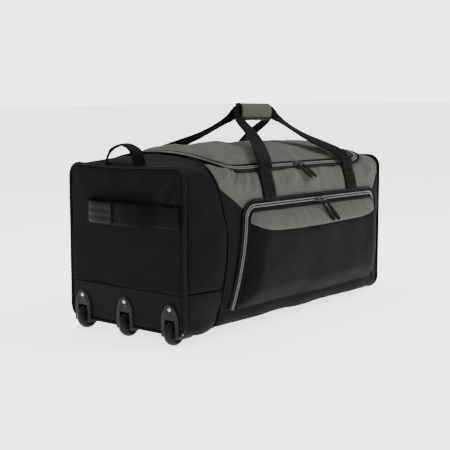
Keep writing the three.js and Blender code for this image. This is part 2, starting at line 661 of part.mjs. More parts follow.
// Sliders with their pulls. A pull lies from its pivot over the slider down the cloth.
const MAIN_SLIDER_K = SHOULDER + 0.02;
const POCKET_SLIDER_K = placeAtHeight(POCKET_PANEL_TOP + ZIP_HALF);
const SLIDER = { length: 14, width: 8, height: 5 };
const PULL_LIFT = SLIDER.height + 3.4; // slider's underside to the middle of the pull's pivot
function slider(name, x, k, out) {
  const mesh = add(name, 'slider', new THREE.BoxGeometry(SLIDER.length, SLIDER.width, SLIDER.height));
  const up = outward(x, k);
  const across = up.clone().cross(vector(1, 0, 0));
  mesh.quaternion.setFromRotationMatrix(new THREE.Matrix4().makeBasis(vector(1, 0, 0), across, up));
  mesh.position.copy(offSkin(x, k, out + SLIDER.height / 2));
}
function pull(name, pivot, tip, up) {
  const length = pivot.distanceTo(tip);
  const mesh = add(name, 'pullRubber', new THREE.BoxGeometry(length, 6, 2.6));
  const ahead = tip.clone().sub(pivot).normalize();
  const rise = up.clone().addScaledVector(ahead, -up.dot(ahead)).normalize();
  const across = rise.clone().cross(ahead);
  mesh.quaternion.setFromRotationMatrix(new THREE.Matrix4().makeBasis(ahead, across, rise));
  mesh.position.copy(pivot).lerp(tip, 0.5);
  pivots[name] = { point: pivot.clone(), axis: ahead.cross(rise).normalize() };
}
const pivots = {};

// A pull hangs from its pivot down the cloth, leaning to the far end, to a tip at its own length.
function hang(name, x, k, { length, lean }, pivotOut, tipOut) {
  const pivot = offSkin(x, k, pivotOut);
  let [low, high] = [k - 3, k];
  while (high - low > 1e-4) {
    const middle = (low + high) / 2;
    if (offSkin(x + lean, middle, tipOut).distanceTo(pivot) > length) low = middle;
    else high = middle;
  }
  pull(name.replace('slider', 'pull'), pivot, offSkin(x + lean, low, tipOut), outward(x, k - 0.5));
}
function sliders() {
  for (const [name, place] of Object.entries(MAIN_SLIDERS)) {
    slider(name, STRAP_MIDDLE + place, MAIN_SLIDER_K, 1.1);
    hang(name, STRAP_MIDDLE + place, MAIN_SLIDER_K, MAIN_PULL, 1.1 + PULL_LIFT, 9.5);
  }
  for (const [name, place] of Object.entries(POCKET_SLIDERS)) {
    slider(name, STRAP_MIDDLE + place, POCKET_SLIDER_K, 8);
    hang(name, STRAP_MIDDLE + place, POCKET_SLIDER_K, POCKET_PULL, 8 + PULL_LIFT, 34);
  }
}

// Set down on the wheels and the far-end piping: the floor touches both circles from below.
function restingTilt() {
  const far = vector(LENGTH, 0, PIPING_INSET);
  const run = vector(far.x - AXLE_X, 0, far.z - AXLE_Z);
  return Math.atan2(run.z, run.x) + Math.asin((WHEEL_RADIUS - PIPING) / run.length());
}

wheelEnd();
farEnd();
base();
walls();
lid();
pocket();
for (const [end, root] of ROOTS.entries()) {
  const name = ['left', 'right'][end];
  strapTab(`strap_tab_front_${name}`, -1, root, POCKET_K + 0.1);
  strapTab(`strap_tab_rear_${name}`, 1, root, BASE_K + 1.9);
}
carryStrap('front_strap', -1);
carryStrap('rear_strap', 1);
gripWrap();
endHandle();
pullHandle();
topLoop();
sliders();

const mirrorY = (point) => point.setY(-point.y);
pivots.lid_open = { point: mirrorY(onSkin(LENGTH / 2, SHOULDER)), axis: vector(-1, 0, 0) };
pivots.front_strap_swing = { point: offSkin(STRAP_MIDDLE, STRAP_K, STRAP_OUT), axis: X_AXIS };
pivots.rear_strap_swing = {
  point: mirrorY(offSkin(STRAP_MIDDLE, STRAP_K, STRAP_OUT)), axis: vector(-1, 0, 0),
};
pivots.pocket_open = { point: offSkin(LENGTH / 2, placeAtHeight(POCKET_LOW) - 0.06, 2.5), axis: X_AXIS };
pivots.wrap_open = {
  point: vector(GRIP_X, GRIP_DEEP / 2, GRIP_Z + GRIP_TALL / 2), axis: vector(-1, 0, 0),
};
pivots.top_loop_swing = { point: LOOP_FOOT.clone(), axis: vector(0, 1, 0) };
for (const [name, y] of Object.entries(WHEEL_PLACES)) {
  pivots[`wheel_${name}_spin`] = { point: vector(AXLE_X, y, AXLE_Z), axis: vector(0, 1, 0) };
}
bag.userData.pivots = pivots;

bag.rotation.y = restingTilt();
const part = new THREE.Group();
part.add(bag);
part.updateMatrixWorld(true);
const box = new THREE.Box3().setFromObject(bag, true);
bag.position.set(-(box.min.x + box.max.x) / 2, -(box.min.y + box.max.y) / 2, -box.min.z);
part.updateMatrixWorld(true);

export default part;
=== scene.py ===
import json
import math

import bmesh
import bpy
import numpy as np
from mathutils import Matrix, Vector


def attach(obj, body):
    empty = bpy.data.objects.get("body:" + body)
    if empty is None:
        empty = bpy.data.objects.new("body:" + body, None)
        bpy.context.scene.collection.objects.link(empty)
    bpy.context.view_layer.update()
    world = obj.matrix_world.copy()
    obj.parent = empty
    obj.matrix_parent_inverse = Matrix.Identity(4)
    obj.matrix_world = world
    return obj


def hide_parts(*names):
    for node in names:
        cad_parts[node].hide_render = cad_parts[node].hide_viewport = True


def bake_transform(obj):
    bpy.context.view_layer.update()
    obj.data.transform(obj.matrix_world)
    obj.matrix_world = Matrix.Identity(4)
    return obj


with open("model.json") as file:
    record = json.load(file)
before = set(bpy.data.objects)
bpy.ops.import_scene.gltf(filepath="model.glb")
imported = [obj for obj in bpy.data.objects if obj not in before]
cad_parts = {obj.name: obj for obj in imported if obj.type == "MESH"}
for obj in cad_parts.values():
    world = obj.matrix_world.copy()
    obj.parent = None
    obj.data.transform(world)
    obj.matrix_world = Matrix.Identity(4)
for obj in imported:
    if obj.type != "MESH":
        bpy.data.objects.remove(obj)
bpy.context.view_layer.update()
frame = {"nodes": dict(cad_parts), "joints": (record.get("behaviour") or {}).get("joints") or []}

# ----------------------------------------
# The bag's own axes. It stands on its wheels and its far bottom edge, so it leans a little. Every
# piece is drawn level, in millimetres, with x from the wheel-end seam, y from the middle of the
# width (the front is on -y) and z from the underside of the base, and laid on the frame at the end.
joints = {joint["name"]: joint for joint in frame["joints"]}
AXLE = Vector((9, 0, 4))
lengthways = Vector(joints["main_slider_left_slide"]["axis"]).normalized()
widthways = Vector((0, 1, 0))
lean = Matrix((lengthways, widthways, lengthways.cross(widthways))).transposed()
axle_place = Vector(joints["wheel_middle_spin"]["pos_m"])
bag = Matrix.Translation(axle_place - lean @ AXLE * 0.001) @ lean.to_4x4() @ Matrix.Scale(0.001, 4)

# ----------------------------------------
# Camera, floor and light: a long lens at table height off the front corner of the wheel end, a
# pale floor under a pale sky, a broad key light above the front, a softer one above the rear and a
# weak one at the wheel end.
EYE = Vector((-1434.7, -1470.7, 462.7))
HEADING, DIP = math.radians(39.69), math.radians(6.716)
look = Vector((math.cos(DIP) * math.cos(HEADING), math.cos(DIP) * math.sin(HEADING), -math.sin(DIP)))
right = look.cross(Vector((0, 0, 1))).normalized()
facing = Matrix((right, right.cross(look), -look)).transposed()
camera = bpy.data.objects.new("camera", bpy.data.cameras.new("camera"))
camera.data.sensor_width = 36
camera.data.lens = 76.3
camera.matrix_world = Matrix.Translation(bag @ EYE) @ (lean @ facing).to_4x4()
bpy.context.scene.collection.objects.link(camera)
bpy.context.scene.camera = camera


def linear(colour):
    """An sRGB hex colour as the linear values that a shader takes."""
    channels = [int(colour[i:i + 2], 16) / 255 for i in (0, 2, 4)]
    return [c / 12.92 if c <= 0.04045 else ((c + 0.055) / 1.055) ** 2.4 for c in channels] + [1]


def add_node(tree, kind, settings=None, inputs=None):
    """Adds a node, sets its properties, and sets each input to a value or links it to a socket."""
    made = tree.nodes.new(kind)
    for name, value in (settings or {}).items():
        setattr(made, name, value)
    for name, value in (inputs or {}).items():
        if isinstance(value, bpy.types.NodeSocket):
            tree.links.new(value, made.inputs[name])
        else:
            made.inputs[name].default_value = value
    return made


def material(name, colour, roughness):
    """A new material with its tree and its shader."""
    made = bpy.data.materials.new(name)
    made.use_nodes = True
    shader = made.node_tree.nodes["Principled BSDF"]
    shader.inputs["Base Color"].default_value = linear(colour)
    shader.inputs["Roughness"].default_value = roughness
    return made, made.node_tree, shader


# A sheet of opal acrylic lit from below: it gives a plain near-white ground with soft shadows.
floor_mesh = bpy.data.meshes.new("floor")
FLOOR = 30  # metres from the middle to each edge
corners = [(-FLOOR, -FLOOR, 0), (FLOOR, -FLOOR, 0), (FLOOR, FLOOR, 0), (-FLOOR, FLOOR, 0)]
floor_mesh.from_pydata(corners, [], [(0, 1, 2, 3)])
floor = bpy.data.objects.new("floor", floor_mesh)
floor_finish, _, floor_shader = material("white light-table acrylic", "f4f4f2", 0.9)
floor_shader.inputs["Emission Color"].default_value = linear("ffffff")
floor_shader.inputs["Emission Strength"].default_value = 2.4
floor_mesh.materials.append(floor_finish)
bpy.context.scene.collection.objects.link(floor)

# The sky lights the bag softly, and is brighter where it is seen directly, as a backdrop.
sky = bpy.data.worlds.new("sky")
bpy.context.scene.world = sky
sky.use_nodes = True
sky.node_tree.nodes["Background"].inputs["Color"].default_value = linear("ffffff")
sky.node_tree.nodes["Background"].inputs["Strength"].default_value = 0.7
paths = add_node(sky.node_tree, "ShaderNodeLightPath")
seen = add_node(sky.node_tree, "ShaderNodeBackground", None,
                {"Color": linear("ffffff"), "Strength": 4.0})
backdrop = add_node(sky.node_tree, "ShaderNodeMixShader", None, {
    0: paths.outputs["Is Camera Ray"], 1: sky.node_tree.nodes["Background"].outputs[0],
    2: seen.outputs["Background"]})
sky_output = sky.node_tree.nodes["World Output"].inputs["Surface"]
sky.node_tree.links.new(backdrop.outputs["Shader"], sky_output)
AIM = Vector((0, 0, 0.2))  # the middle of the bag
for name, place, size, power in [
    ("key light", (0.9, -1.6, 2.7), 1.1, 80),
    ("end light", (-2.6, 0.4, 1.6), 1.0, 10),
    ("top light", (0.0, 0.9, 2.6), 1.2, 40),
]:
    lamp = bpy.data.objects.new(name, bpy.data.lights.new(name, "AREA"))
    lamp.data.size, lamp.data.energy = size, power
    lamp.location = place
    lamp.rotation_euler = (AIM - Vector(place)).to_track_quat("-Z", "Y").to_euler()
    bpy.context.scene.collection.objects.link(lamp)

# ----------------------------------------
# The body's skin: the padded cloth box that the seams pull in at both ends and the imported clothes
# push out between them. x runs along the bag, and k counts round it from the middle of the base,
# up the front (2 base edge, 5 top of the wear band, 8 pocket zip, 10 shoulder) to the lid's crest
# at 13 and down the rear.
LENGTH, WIDTH, HEIGHT = 762, 350, 352
SIDE_BULGE, LID_RISE = 22, 40
WEAR_HEIGHT, POCKET_TOP = 88, 263
ROUND, CREST, SHOULDER = 26, 13, 10
half_outline = [  # y, z, share of the side bulge, share of the lid's rise
    (0, 0, 0, 0),
    (-WIDTH / 4, 0, 0, 0),
    (-(WIDTH / 2 - 25), 0, 0, 0),
    (-(WIDTH / 2 - 3), 12, 0.18, 0),
    (-WIDTH / 2, 45, 0.4, 0),
    (-WIDTH / 2, WEAR_HEIGHT, 0.68, 0),
    (-WIDTH / 2, WEAR_HEIGHT + 0.35 * (POCKET_TOP - WEAR_HEIGHT), 0.95, 0),
    (-WIDTH / 2, WEAR_HEIGHT + 0.7 * (POCKET_TOP - WEAR_HEIGHT), 1, 0),
    (-WIDTH / 2, POCKET_TOP, 0.82, 0),
    (-WIDTH / 2, HEIGHT - 37, 0.27, 0),
    (-(WIDTH / 2 - 8), HEIGHT - 13, 0, 0),
    (-(WIDTH / 2 - 38), HEIGHT, -0.1, 0.18),
    (-WIDTH * 0.215, HEIGHT, 0, 0.8),
    (0, HEIGHT, 0, 1),
]


def outline(bulge, rise):
    """The section round the body, with its sides and its lid filled out by some millimetres."""
    points = []
    for k in range(ROUND):
        y, z, out, up = half_outline[ROUND - k if k > CREST else k]
        side = -1 if k > CREST else 1
        points.append((side * (y - out * bulge), z + up * rise))
    return np.array(points)


slack_outline, full_outline = outline(0, 0), outline(SIDE_BULGE, LID_RISE)


def spline(points, k):
    """The closed curve through the points, at places counted in points."""
    start = np.floor(k).astype(int)
    t = (k - start)[..., None]
    a, b, c, d = (points[(start + i) % len(points)] for i in (-1, 0, 1, 2))
    return b + 0.5 * t * (c - a + t * (2 * a - 5 * b + 4 * c - d + t * (3 * (b - c) + d - a)))


def ease(t):
    """Rises from 0 to 1 as t does, steeply at first and level at the end."""
    return np.sin(np.clip(t, 0, 1) * math.pi / 2)


SIDE_FILL, NEAR_RISE, FAR_RISE = 110, 280, 150  # mm over which the seams' pull dies away


def skin(x, k):
    """Points on the body at places along it and round it."""
    x, k = np.broadcast_arrays(np.asarray(x, float), np.asarray(k, float))
    side = ease(np.minimum(x, LENGTH - x) / SIDE_FILL)
    rise = ease(np.minimum(x / NEAR_RISE, (LENGTH - x) / FAR_RISE))
    slack, full = spline(slack_outline, k), spline(full_outline, k)
    y = slack[..., 0] + (full[..., 0] - slack[..., 0]) * side
    z = slack[..., 1] + (full[..., 1] - slack[..., 1]) * rise
    return np.stack([x, y, z], -1)


def outward(x, k):
    """Unit vectors square to the skin."""
    along = skin(np.add(x, 1.0), k) - skin(np.subtract(x, 1.0), k)
    round_it = skin(x, np.add(k, 0.02)) - skin(x, np.subtract(k, 0.02))
    normal = np.cross(along, round_it)
    return normal / np.linalg.norm(normal, axis=-1, keepdims=True)


def off_skin(x, k, out=0.0):
    """Points on the skin, moved outwards by some millimetres."""
    return skin(x, k) + outward(x, k) * np.asarray(out, float)[..., None]


girth_k = np.linspace(-3, 29, 3201)
girth_steps = np.linalg.norm(np.diff(spline(slack_outline, girth_k), axis=0), axis=1)
girth_mm = np.concatenate([[0], np.cumsum(girth_steps)])


def girth(k):
    """Millimetres round the body up to an outline place."""
    return np.interp(k, girth_k, girth_mm)


# ----------------------------------------
# Base: a flat sole of coated cloth, sewn to the walls all round and held flat from inside by a
# sheet of polyethylene. Both are notched at the wheel end for the three wheel housings.


def smooth(mesh):
    """Shades a whole mesh smoothly."""
    mesh.polygons.foreach_set("use_smooth", np.ones(len(mesh.polygons), bool))
    mesh.update()


def add_piece(name, mesh, *finishes):
    """A new object from a mesh drawn on the bag's axes, laid on the frame."""
    mesh.transform(bag)
    for finish in finishes:
        mesh.materials.append(finish)
    piece = bpy.data.objects.new(name, mesh)
    bpy.context.scene.collection.objects.link(piece)
    return piece


def fasten(piece, body, slot, *nodes):
    """Rides a piece on its body, and hides the CAD nodes that it stands for. Its slot is not used."""
    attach(piece, body)
    if nodes:
        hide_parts(*nodes)


def map_cloth(mesh, uv):
    """Gives each point of a mesh its place on the cloth, in metres."""
    layer = mesh.uv_layers.new(name="cloth")
    corner = np.empty(len(mesh.loops), np.int32)
    mesh.loops.foreach_get("vertex_index", corner)
    layer.data.foreach_set("uv", uv.reshape(-1, 2)[corner].astype(np.float32).ravel())


CLOTH = 2.6  # the outer cloth, its foam and its lining, stitched as one


def cloth(name, points, uv, finishes, keep=None):
    """A layer of cloth through a grid of points, thickened inwards."""
    rows, columns = points.shape[:2]
    index = np.arange(rows * columns).reshape(rows, columns)
    faces = np.stack([index[:-1, :-1], index[1:, :-1], index[1:, 1:], index[:-1, 1:]], -1)
    faces = faces[keep] if keep is not None else faces.reshape(-1, 4)
    mesh = bpy.data.meshes.new(name)
    mesh.from_pydata(points.reshape(-1, 3).tolist(), [], faces.tolist())
    map_cloth(mesh, uv)
    smooth(mesh)
    piece = add_piece(name, mesh, *finishes)
    wall = piece.modifiers.new("thickness", "SOLIDIFY")
    wall.thickness = CLOTH / 1000
    wall.offset = -1
    wall.use_even_offset = True
    wall.material_offset = len(finishes) - 1
    wall.material_offset_rim = 0
    return piece


def to_edge(points):
    """How far each point of a grid lies from the grid's nearest edge, along its own lines."""
    nearest = []
    for axis in (0, 1):
        step = np.linalg.norm(np.diff(points, axis=axis), axis=-1)
        run = np.insert(np.cumsum(step, axis), 0, 0, axis)
        nearest.append(np.minimum(run, run.take([-1], axis) - run))
    return np.minimum(*nearest)


def rumple(u, v, size, height, seed):
    """Slow, uneven waves all over a cloth, of about one size in millimetres."""
    chance = np.random.default_rng(seed)
    total = np.zeros(np.broadcast(u, v).shape)
    for _ in range(7):
        angle, phase, scale = chance.uniform((0, 0, 0.7), (math.pi, 2 * math.pi, 1.6))
        wave = (u * math.cos(angle) + v * math.sin(angle)) / (size * scale)
        total += np.sin(2 * math.pi * wave + phase)
    return total * height / 2.6


def fold(u, v, start, end, wide, high):
    """A soft ridge, or a hollow if high is negative, that fades out at both of its ends."""
    start, run = np.array(start, float), np.subtract(end, start)
    u, v = u - start[0], v - start[1]
    along = (u * run[0] + v * run[1]) / (run @ run)
    off = np.hypot(u - along * run[0], v - along * run[1])
    return high * np.exp(-((off / wide) ** 2)) * np.sin(math.pi * np.clip(along, 0, 1)) ** 0.8


def creased(out, u, v, folds, up=float, gain=1):
    """Adds folds to a relief; up turns the second number of a fold's ends into the grid's measure."""
    for start, end, wide, high in folds:
        out = out + fold(u, v, (start[0], up(start[1])), (end[0], up(end[1])), wide, gain * high)
    return out


def woven(name, colour, thread, relief, roughness, sheen):
    """Cloth of crossed threads, which lie `thread` mm apart and stand `relief` mm high."""
    made, tree, shader = material(name, colour, roughness)
    shader.inputs["Sheen Weight"].default_value = sheen
    shader.inputs["Sheen Roughness"].default_value = 0.5
    shader.inputs["Specular IOR Level"].default_value = 0.06
    uv = add_node(tree, "ShaderNodeUVMap", {"uv_map": "cloth"}).outputs["UV"]
    threads = add_node(tree, "ShaderNodeVectorMath", {"operation": "SCALE"},
                       {0: uv, "Scale": 1000 / thread}).outputs["Vector"]
    half_turns = add_node(tree, "ShaderNodeVectorMath", {"operation": "SCALE"},
                          {0: threads, "Scale": math.pi}).outputs["Vector"]
    waves = add_node(tree, "ShaderNodeVectorMath", {"operation": "SINE"}, {0: half_turns})
    crowns = add_node(tree, "ShaderNodeVectorMath", {"operation": "ABSOLUTE"},
                      {0: waves.outputs["Vector"]})
    crossed = add_node(tree, "ShaderNodeSeparateXYZ", None, {"Vector": crowns.outputs["Vector"]})
    over = add_node(tree, "ShaderNodeTexChecker", None,
                    {"Vector": threads, "Scale": 1.0, "Color1": (1, 1, 1, 1), "Color2": (0, 0, 0, 1)})
    weave = add_node(tree, "ShaderNodeMix", None, {
        "Factor": over.outputs["Fac"], "A": crossed.outputs["X"], "B": crossed.outputs["Y"]})
    # Yarns are never even: slubs run along the rows, and the dye is a little patchy.
    slubs_at = add_node(tree, "ShaderNodeVectorMath", {"operation": "MULTIPLY"},
                        {0: uv, 1: (90, 420, 1)}).outputs["Vector"]
    slubs = add_node(tree, "ShaderNodeTexNoise", None,
                     {"Vector": slubs_at, "Scale": 1.0, "Detail": 2.0}).outputs["Fac"]
    patches = add_node(tree, "ShaderNodeTexNoise", None,
                       {"Vector": uv, "Scale": 9.0, "Detail": 3.0}).outputs["Fac"]
    height = add_node(tree, "ShaderNodeMath", {"operation": "MULTIPLY_ADD"},
                      {0: slubs, 1: 0.9, 2: weave.outputs["Result"]}).outputs["Value"]
    bump = add_node(tree, "ShaderNodeBump", None,
                    {"Height": height, "Distance": relief / 1000, "Strength": 1.0})
    tree.links.new(bump.outputs["Normal"], shader.inputs["Normal"])
    # The colour follows the height: it is painted lighter on the crowns of the threads and slubs, a
    # painted highlight, and darker in the hollows between them, painted shade. The patchy dye added
    # after it is the cloth's own.
    tone = add_node(tree, "ShaderNodeMath", {"operation": "MULTIPLY_ADD"},
                    {0: height, 1: 0.22, 2: 0.62}).outputs["Value"]
    tone = add_node(tree, "ShaderNodeMath", {"operation": "MULTIPLY_ADD"},
                    {0: patches, 1: 0.24, 2: tone}).outputs["Value"]
    dye_and_painted_shade = add_node(tree, "ShaderNodeVectorMath", {"operation": "SCALE"},
                    {0: linear(colour)[:3], "Scale": tone})
    tree.links.new(dye_and_painted_shade.outputs["Vector"], shader.inputs["Base Color"])
    return made


# 600-denier polyester with a polyurethane back. Its threads lie 0.6 mm apart; they are drawn at
# 1.6 mm, since finer ones would vanish, and give a dull, slightly ribbed black.
black_cloth = woven("black 600D polyester oxford", "08090b", 1.6, 0.22, 0.8, 0.01)
# The base and the lower bands are a heavier, coated cloth: smoother and a little shinier. Its
# threads, 0.9 mm apart, are drawn at 2.2 mm.
wear_cloth = woven("black coated 1200D polyester", "07080a", 2.2, 0.2, 0.66, 0.01)
# A thin, slightly glossy grey taffeta lines the whole bag. Its fine threads are drawn at 1.2 mm.
lining = woven("charcoal polyester taffeta lining", "2c2d2f", 1.2, 0.08, 0.6, 0.1)

WHEELS = {"front": -134, "middle": 0, "rear": 134}
NOTCH = 24.4  # half the width of the notch for a housing
NOTCH_LENGTH, NOTCH_HEIGHT = 44.4, 41
notch_edges = [y + side * NOTCH for y in WHEELS.values() for side in (-1, 1)]


def lines(start, end, pitch, *through):
    """Grid lines about a pitch apart from start to end, with some that must be there."""
    stops = sorted({start, end, *(stop for stop in through if start < stop < end)})
    parts = [np.linspace(a, b, max(round((b - a) / pitch), 1) + 1) for a, b in zip(stops, stops[1:])]
    return np.unique(np.round(np.concatenate(parts), 4))


def notched(y, depth, limit):
    """Which cells of a grid are clear of the wheel housings: depth is what the notch is cut into."""
    middle = [(y[:-1, :-1] + y[1:, 1:]) / 2, (depth[:-1, :-1] + depth[1:, 1:]) / 2]
    inside = [np.abs(middle[0] - place) < NOTCH for place in WHEELS.values()]
    return ~(np.any(inside, 0) & (middle[1] < limit))


SOLE_START, SOLE_END, SOLE_HALF = 3.9, 758, 149.6
x, y = np.meshgrid(lines(SOLE_START, SOLE_END, 9, NOTCH_LENGTH),
                   lines(-SOLE_HALF, SOLE_HALF, 9, *notch_edges)[::-1], indexing="ij")
sag = 1.2 * np.sin(math.pi * np.clip((x - 50) / 700, 0, 1)) * np.cos(math.pi * y / 300) ** 2
sag = sag + rumple(x, y, 120, 0.3, 3)
sole = cloth("base_sole", np.stack([x, y, -sag], -1), np.stack([x, y], -1) / 1000,
             [wear_cloth, lining], keep=notched(y, x, NOTCH_LENGTH))
fasten(sole, "shell", "wear_cloth", "base_panel")

# Extruded polyethylene sheet: dull black with a fine leathery grain.
board_finish, tree, shader = material("black extruded polyethylene sheet", "1c1d1f", 0.5)
place = add_node(tree, "ShaderNodeTexCoord").outputs["Object"]
grain = add_node(tree, "ShaderNodeTexNoise", None, {"Vector": place, "Scale": 700.0, "Detail": 3.0})
bump = add_node(tree, "ShaderNodeBump", None,
                {"Height": grain.outputs["Fac"], "Distance": 0.0002, "Strength": 0.5})
tree.links.new(bump.outputs["Normal"], shader.inputs["Normal"])


def refinish(names, finish):
    """Gives CAD nodes, whose shape is right as it is, their real finish."""
    for name in names:
        mesh = frame["nodes"][name].data
        mesh.materials.clear()
        mesh.materials.append(finish)


refinish(["base_board", "wheel_end_board"], board_finish)

# ----------------------------------------
# Wheel end: one padded panel of black cloth above a wear panel, stretched over a stiff board. The
# top sags a little between its corners, and the cloth creases where the corner is turned.
CORNER = 30
EDGE_INSET = 2.5


def end_edge(inset):
    """The end panel's rim from the bottom of the front corner over the top to the rear one."""
    half, low, high, radius = WIDTH / 2 - inset, inset, HEIGHT - inset, CORNER - inset
    points = []
    for y, z, start in [(-half + radius, low + radius, 1.5), (-half + radius, high - radius, 1.0),
                        (half - radius, high - radius, 0.5), (half - radius, low + radius, 0.0)]:
        for turn in np.linspace(start, start - 0.5, 11) * math.pi:
            points.append((y + radius * math.cos(turn), z + radius * math.sin(turn)))
    return np.array(points)


def resample(points, count):
    """The same path with its points evenly spaced."""
    points = np.asarray(points, float)
    run = np.insert(np.cumsum(np.linalg.norm(np.diff(points, axis=0), axis=1)), 0, 0)
    at = np.linspace(0, run[-1], count)
    return np.stack([np.interp(at, run, points[:, i]) for i in range(points.shape[1])], -1)


def patch(bottom, top, left, right, rows, columns):
    """A grid that fills four edges: bottom and top run one way, left and right join them."""
    bottom, top = resample(bottom, rows), resample(top, rows)
    left, right = resample(left, columns), resample(right, columns)
    s, t = np.meshgrid(np.linspace(0, 1, rows), np.linspace(0, 1, columns), indexing="ij")
    s, t = s[..., None], t[..., None]
    ruled = bottom[:, None] * (1 - t) + top[:, None] * t + left[None] * (1 - s) + right[None] * s
    corners = ((1 - s) * (1 - t) * bottom[0] + s * (1 - t) * bottom[-1]
               + (1 - s) * t * top[0] + s * t * top[-1])
    return ruled - corners


def end_face(y, z, side):
    """How far the padded end stands out of its seam: pulled in along the seam, fuller inside."""
    edge = np.minimum(np.minimum(WIDTH / 2 - np.abs(y), HEIGHT - z), z)
    return 3.2 * ease((edge - EDGE_INSET) / 14) + 2.5 * ease(edge / 120) + rumple(
        y + side * 37, z, 95, 0.8, 11 + side)


def top_sag(y, z):
    """The top of the wheel end sags a little between its corners."""
    return 4 * np.clip((z - 300) / 50, 0, 1) * np.cos(math.pi * np.clip(y / 290, -0.5, 0.5))


rim = end_edge(EDGE_INSET)
above = rim[rim[:, 1] > WEAR_HEIGHT]
arc = 5  # the rim's points from its straight side to the middle of a top corner
left = np.vstack([[-WIDTH / 2 + EDGE_INSET, WEAR_HEIGHT + 0.1], above[:arc + 1]])
top = above[arc:len(above) - arc]
right_side = np.vstack([[WIDTH / 2 - EDGE_INSET, WEAR_HEIGHT + 0.1], above[::-1][:arc + 1]])
yz = patch([left[0], right_side[0]], top, left, right_side, 90, 70)
y, z = yz[..., 0], yz[..., 1]
out = end_face(y, z, 0)
for start, end, wide, high in [
    ((-158, 342), (-96, 262), 8, 4.6), ((-168, 318), (-118, 236), 7, 4.2),
    ((-138, 346), (-72, 280), 7, -3.2), ((-171, 292), (-138, 215), 7, 2.6),
    ((-163, 330), (-108, 250), 5, -4.0), ((-40, 345), (-66, 285), 10, 1.8),
    ((60, 346), (30, 292), 12, 1.3), ((150, 340), (118, 280), 10, 1.6),
    ((168, 230), (130, 190), 12, 1.2), ((-165, 190), (-60, 178), 10, 1.1),
]:
    free = np.clip((np.abs(z - 248) - 26) / 12, 0, 1)  # the grab handle's sewn end holds it flat
    out = out + fold(y, z, start, end, wide, high) * free
points = np.stack([0.8 - out, y, z - top_sag(y, z)], -1)[::-1]
upper_end = cloth("wheel_end_upper_panel", points, yz[::-1] / 1000, [black_cloth, lining])
fasten(upper_end, "shell", "black_cloth", "wheel_end_panel")

z = lines(4, WEAR_HEIGHT - 0.1, 5, NOTCH_HEIGHT)
STRAIGHT = 158.4  # half the width in which the panel's grid is even; beyond, it follows the rim
inner = lines(-STRAIGHT, STRAIGHT, 6, *notch_edges)
half = WIDTH / 2 - CORNER + np.sqrt(np.maximum(
    (CORNER - EDGE_INSET) ** 2 - np.maximum(CORNER - z, 0) ** 2, 0))
outer = STRAIGHT + (half[:, None] - STRAIGHT) * np.linspace(0.2, 1, 5)[None]
y = np.hstack([-outer[:, ::-1], np.broadcast_to(inner, (len(z), len(inner))), outer])
z = np.broadcast_to(z[:, None], y.shape)
points = np.stack([0.8 - end_face(y, z, 1), y, z], -1)
lower_end = cloth("wheel_end_lower_panel", points, np.stack([y, z], -1) / 1000,
                  [wear_cloth, lining], keep=notched(y, z, NOTCH_HEIGHT))
fasten(lower_end, "shell", "wear_cloth", "wheel_end_wear_panel")


def sweep(name, centres, ups, sections, finishes, closed=False):
    """A solid bar along a path. Each section is a ring of (across, up) points; ups face its top."""
    centres, ups = np.asarray(centres, float), np.asarray(ups, float)
    if closed:
        ahead = np.roll(centres, -1, 0) - np.roll(centres, 1, 0)
    else:
        ahead = np.gradient(centres, axis=0)
    ahead = ahead / np.linalg.norm(ahead, axis=1, keepdims=True)
    rise = ups - ahead * np.sum(ups * ahead, 1, keepdims=True)
    rise = rise / np.linalg.norm(rise, axis=1, keepdims=True)
    aside = np.cross(rise, ahead)
    sections = np.broadcast_to(np.asarray(sections, float), (len(centres), *np.shape(sections)[-2:]))
    points = (centres[:, None] + aside[:, None] * sections[..., :1] + rise[:, None] * sections[..., 1:])
    rings, sides = points.shape[:2]
    mesh = bpy.data.meshes.new(name)
    faces = []
    for ring in range(rings if closed else rings - 1):
        after = (ring + 1) % rings
        for i in range(sides):
            j = (i + 1) % sides
            faces.append((ring * sides + i, ring * sides + j, after * sides + j, after * sides + i))
    if not closed:
        faces.append(tuple(range(sides))[::-1])
        faces.append(tuple((rings - 1) * sides + i for i in range(sides)))
    mesh.from_pydata(points.reshape(-1, 3).tolist(), [], faces)
    run = np.insert(np.cumsum(np.linalg.norm(np.diff(centres, axis=0), axis=1)), 0, 0)
    uv = np.stack(np.broadcast_arrays(sections[..., 0] + sections[..., 1], run[:, None]), -1) / 1000
    map_cloth(mesh, uv)
    shape = bmesh.new()
    shape.from_mesh(mesh)
    if shape.calc_volume(signed=True) < 0:
        bmesh.ops.reverse_faces(shape, faces=shape.faces)
    shape.to_mesh(mesh)
    shape.free()
    smooth(mesh)
    return add_piece(name, mesh, *finishes)


def ring(radius, sides=10):
    turns = np.linspace(0, 2 * math.pi, sides, endpoint=False)
    return np.stack([radius * np.cos(turns), radius * np.sin(turns)], -1)


# The cord in every seam is covered with a strip of the same cloth, cut on the bias and ironed
# smooth, so it takes a thin highlight. Its threads are drawn at 1.4 mm, as coarse as they need be.
piping_cloth = woven("black bias-cut polyester piping", "060607", 1.4, 0.1, 0.5, 0.02)
PIPING = 3.3


def end_cord(name, x, y, z, closed=False):
    """A cord in an end seam."""
    centres = np.stack([np.full(len(y), float(x)), y, z], -1)
    return sweep(name, centres, np.tile([1.0, 0, 0], (len(y), 1)), ring(PIPING), [piping_cloth], closed)


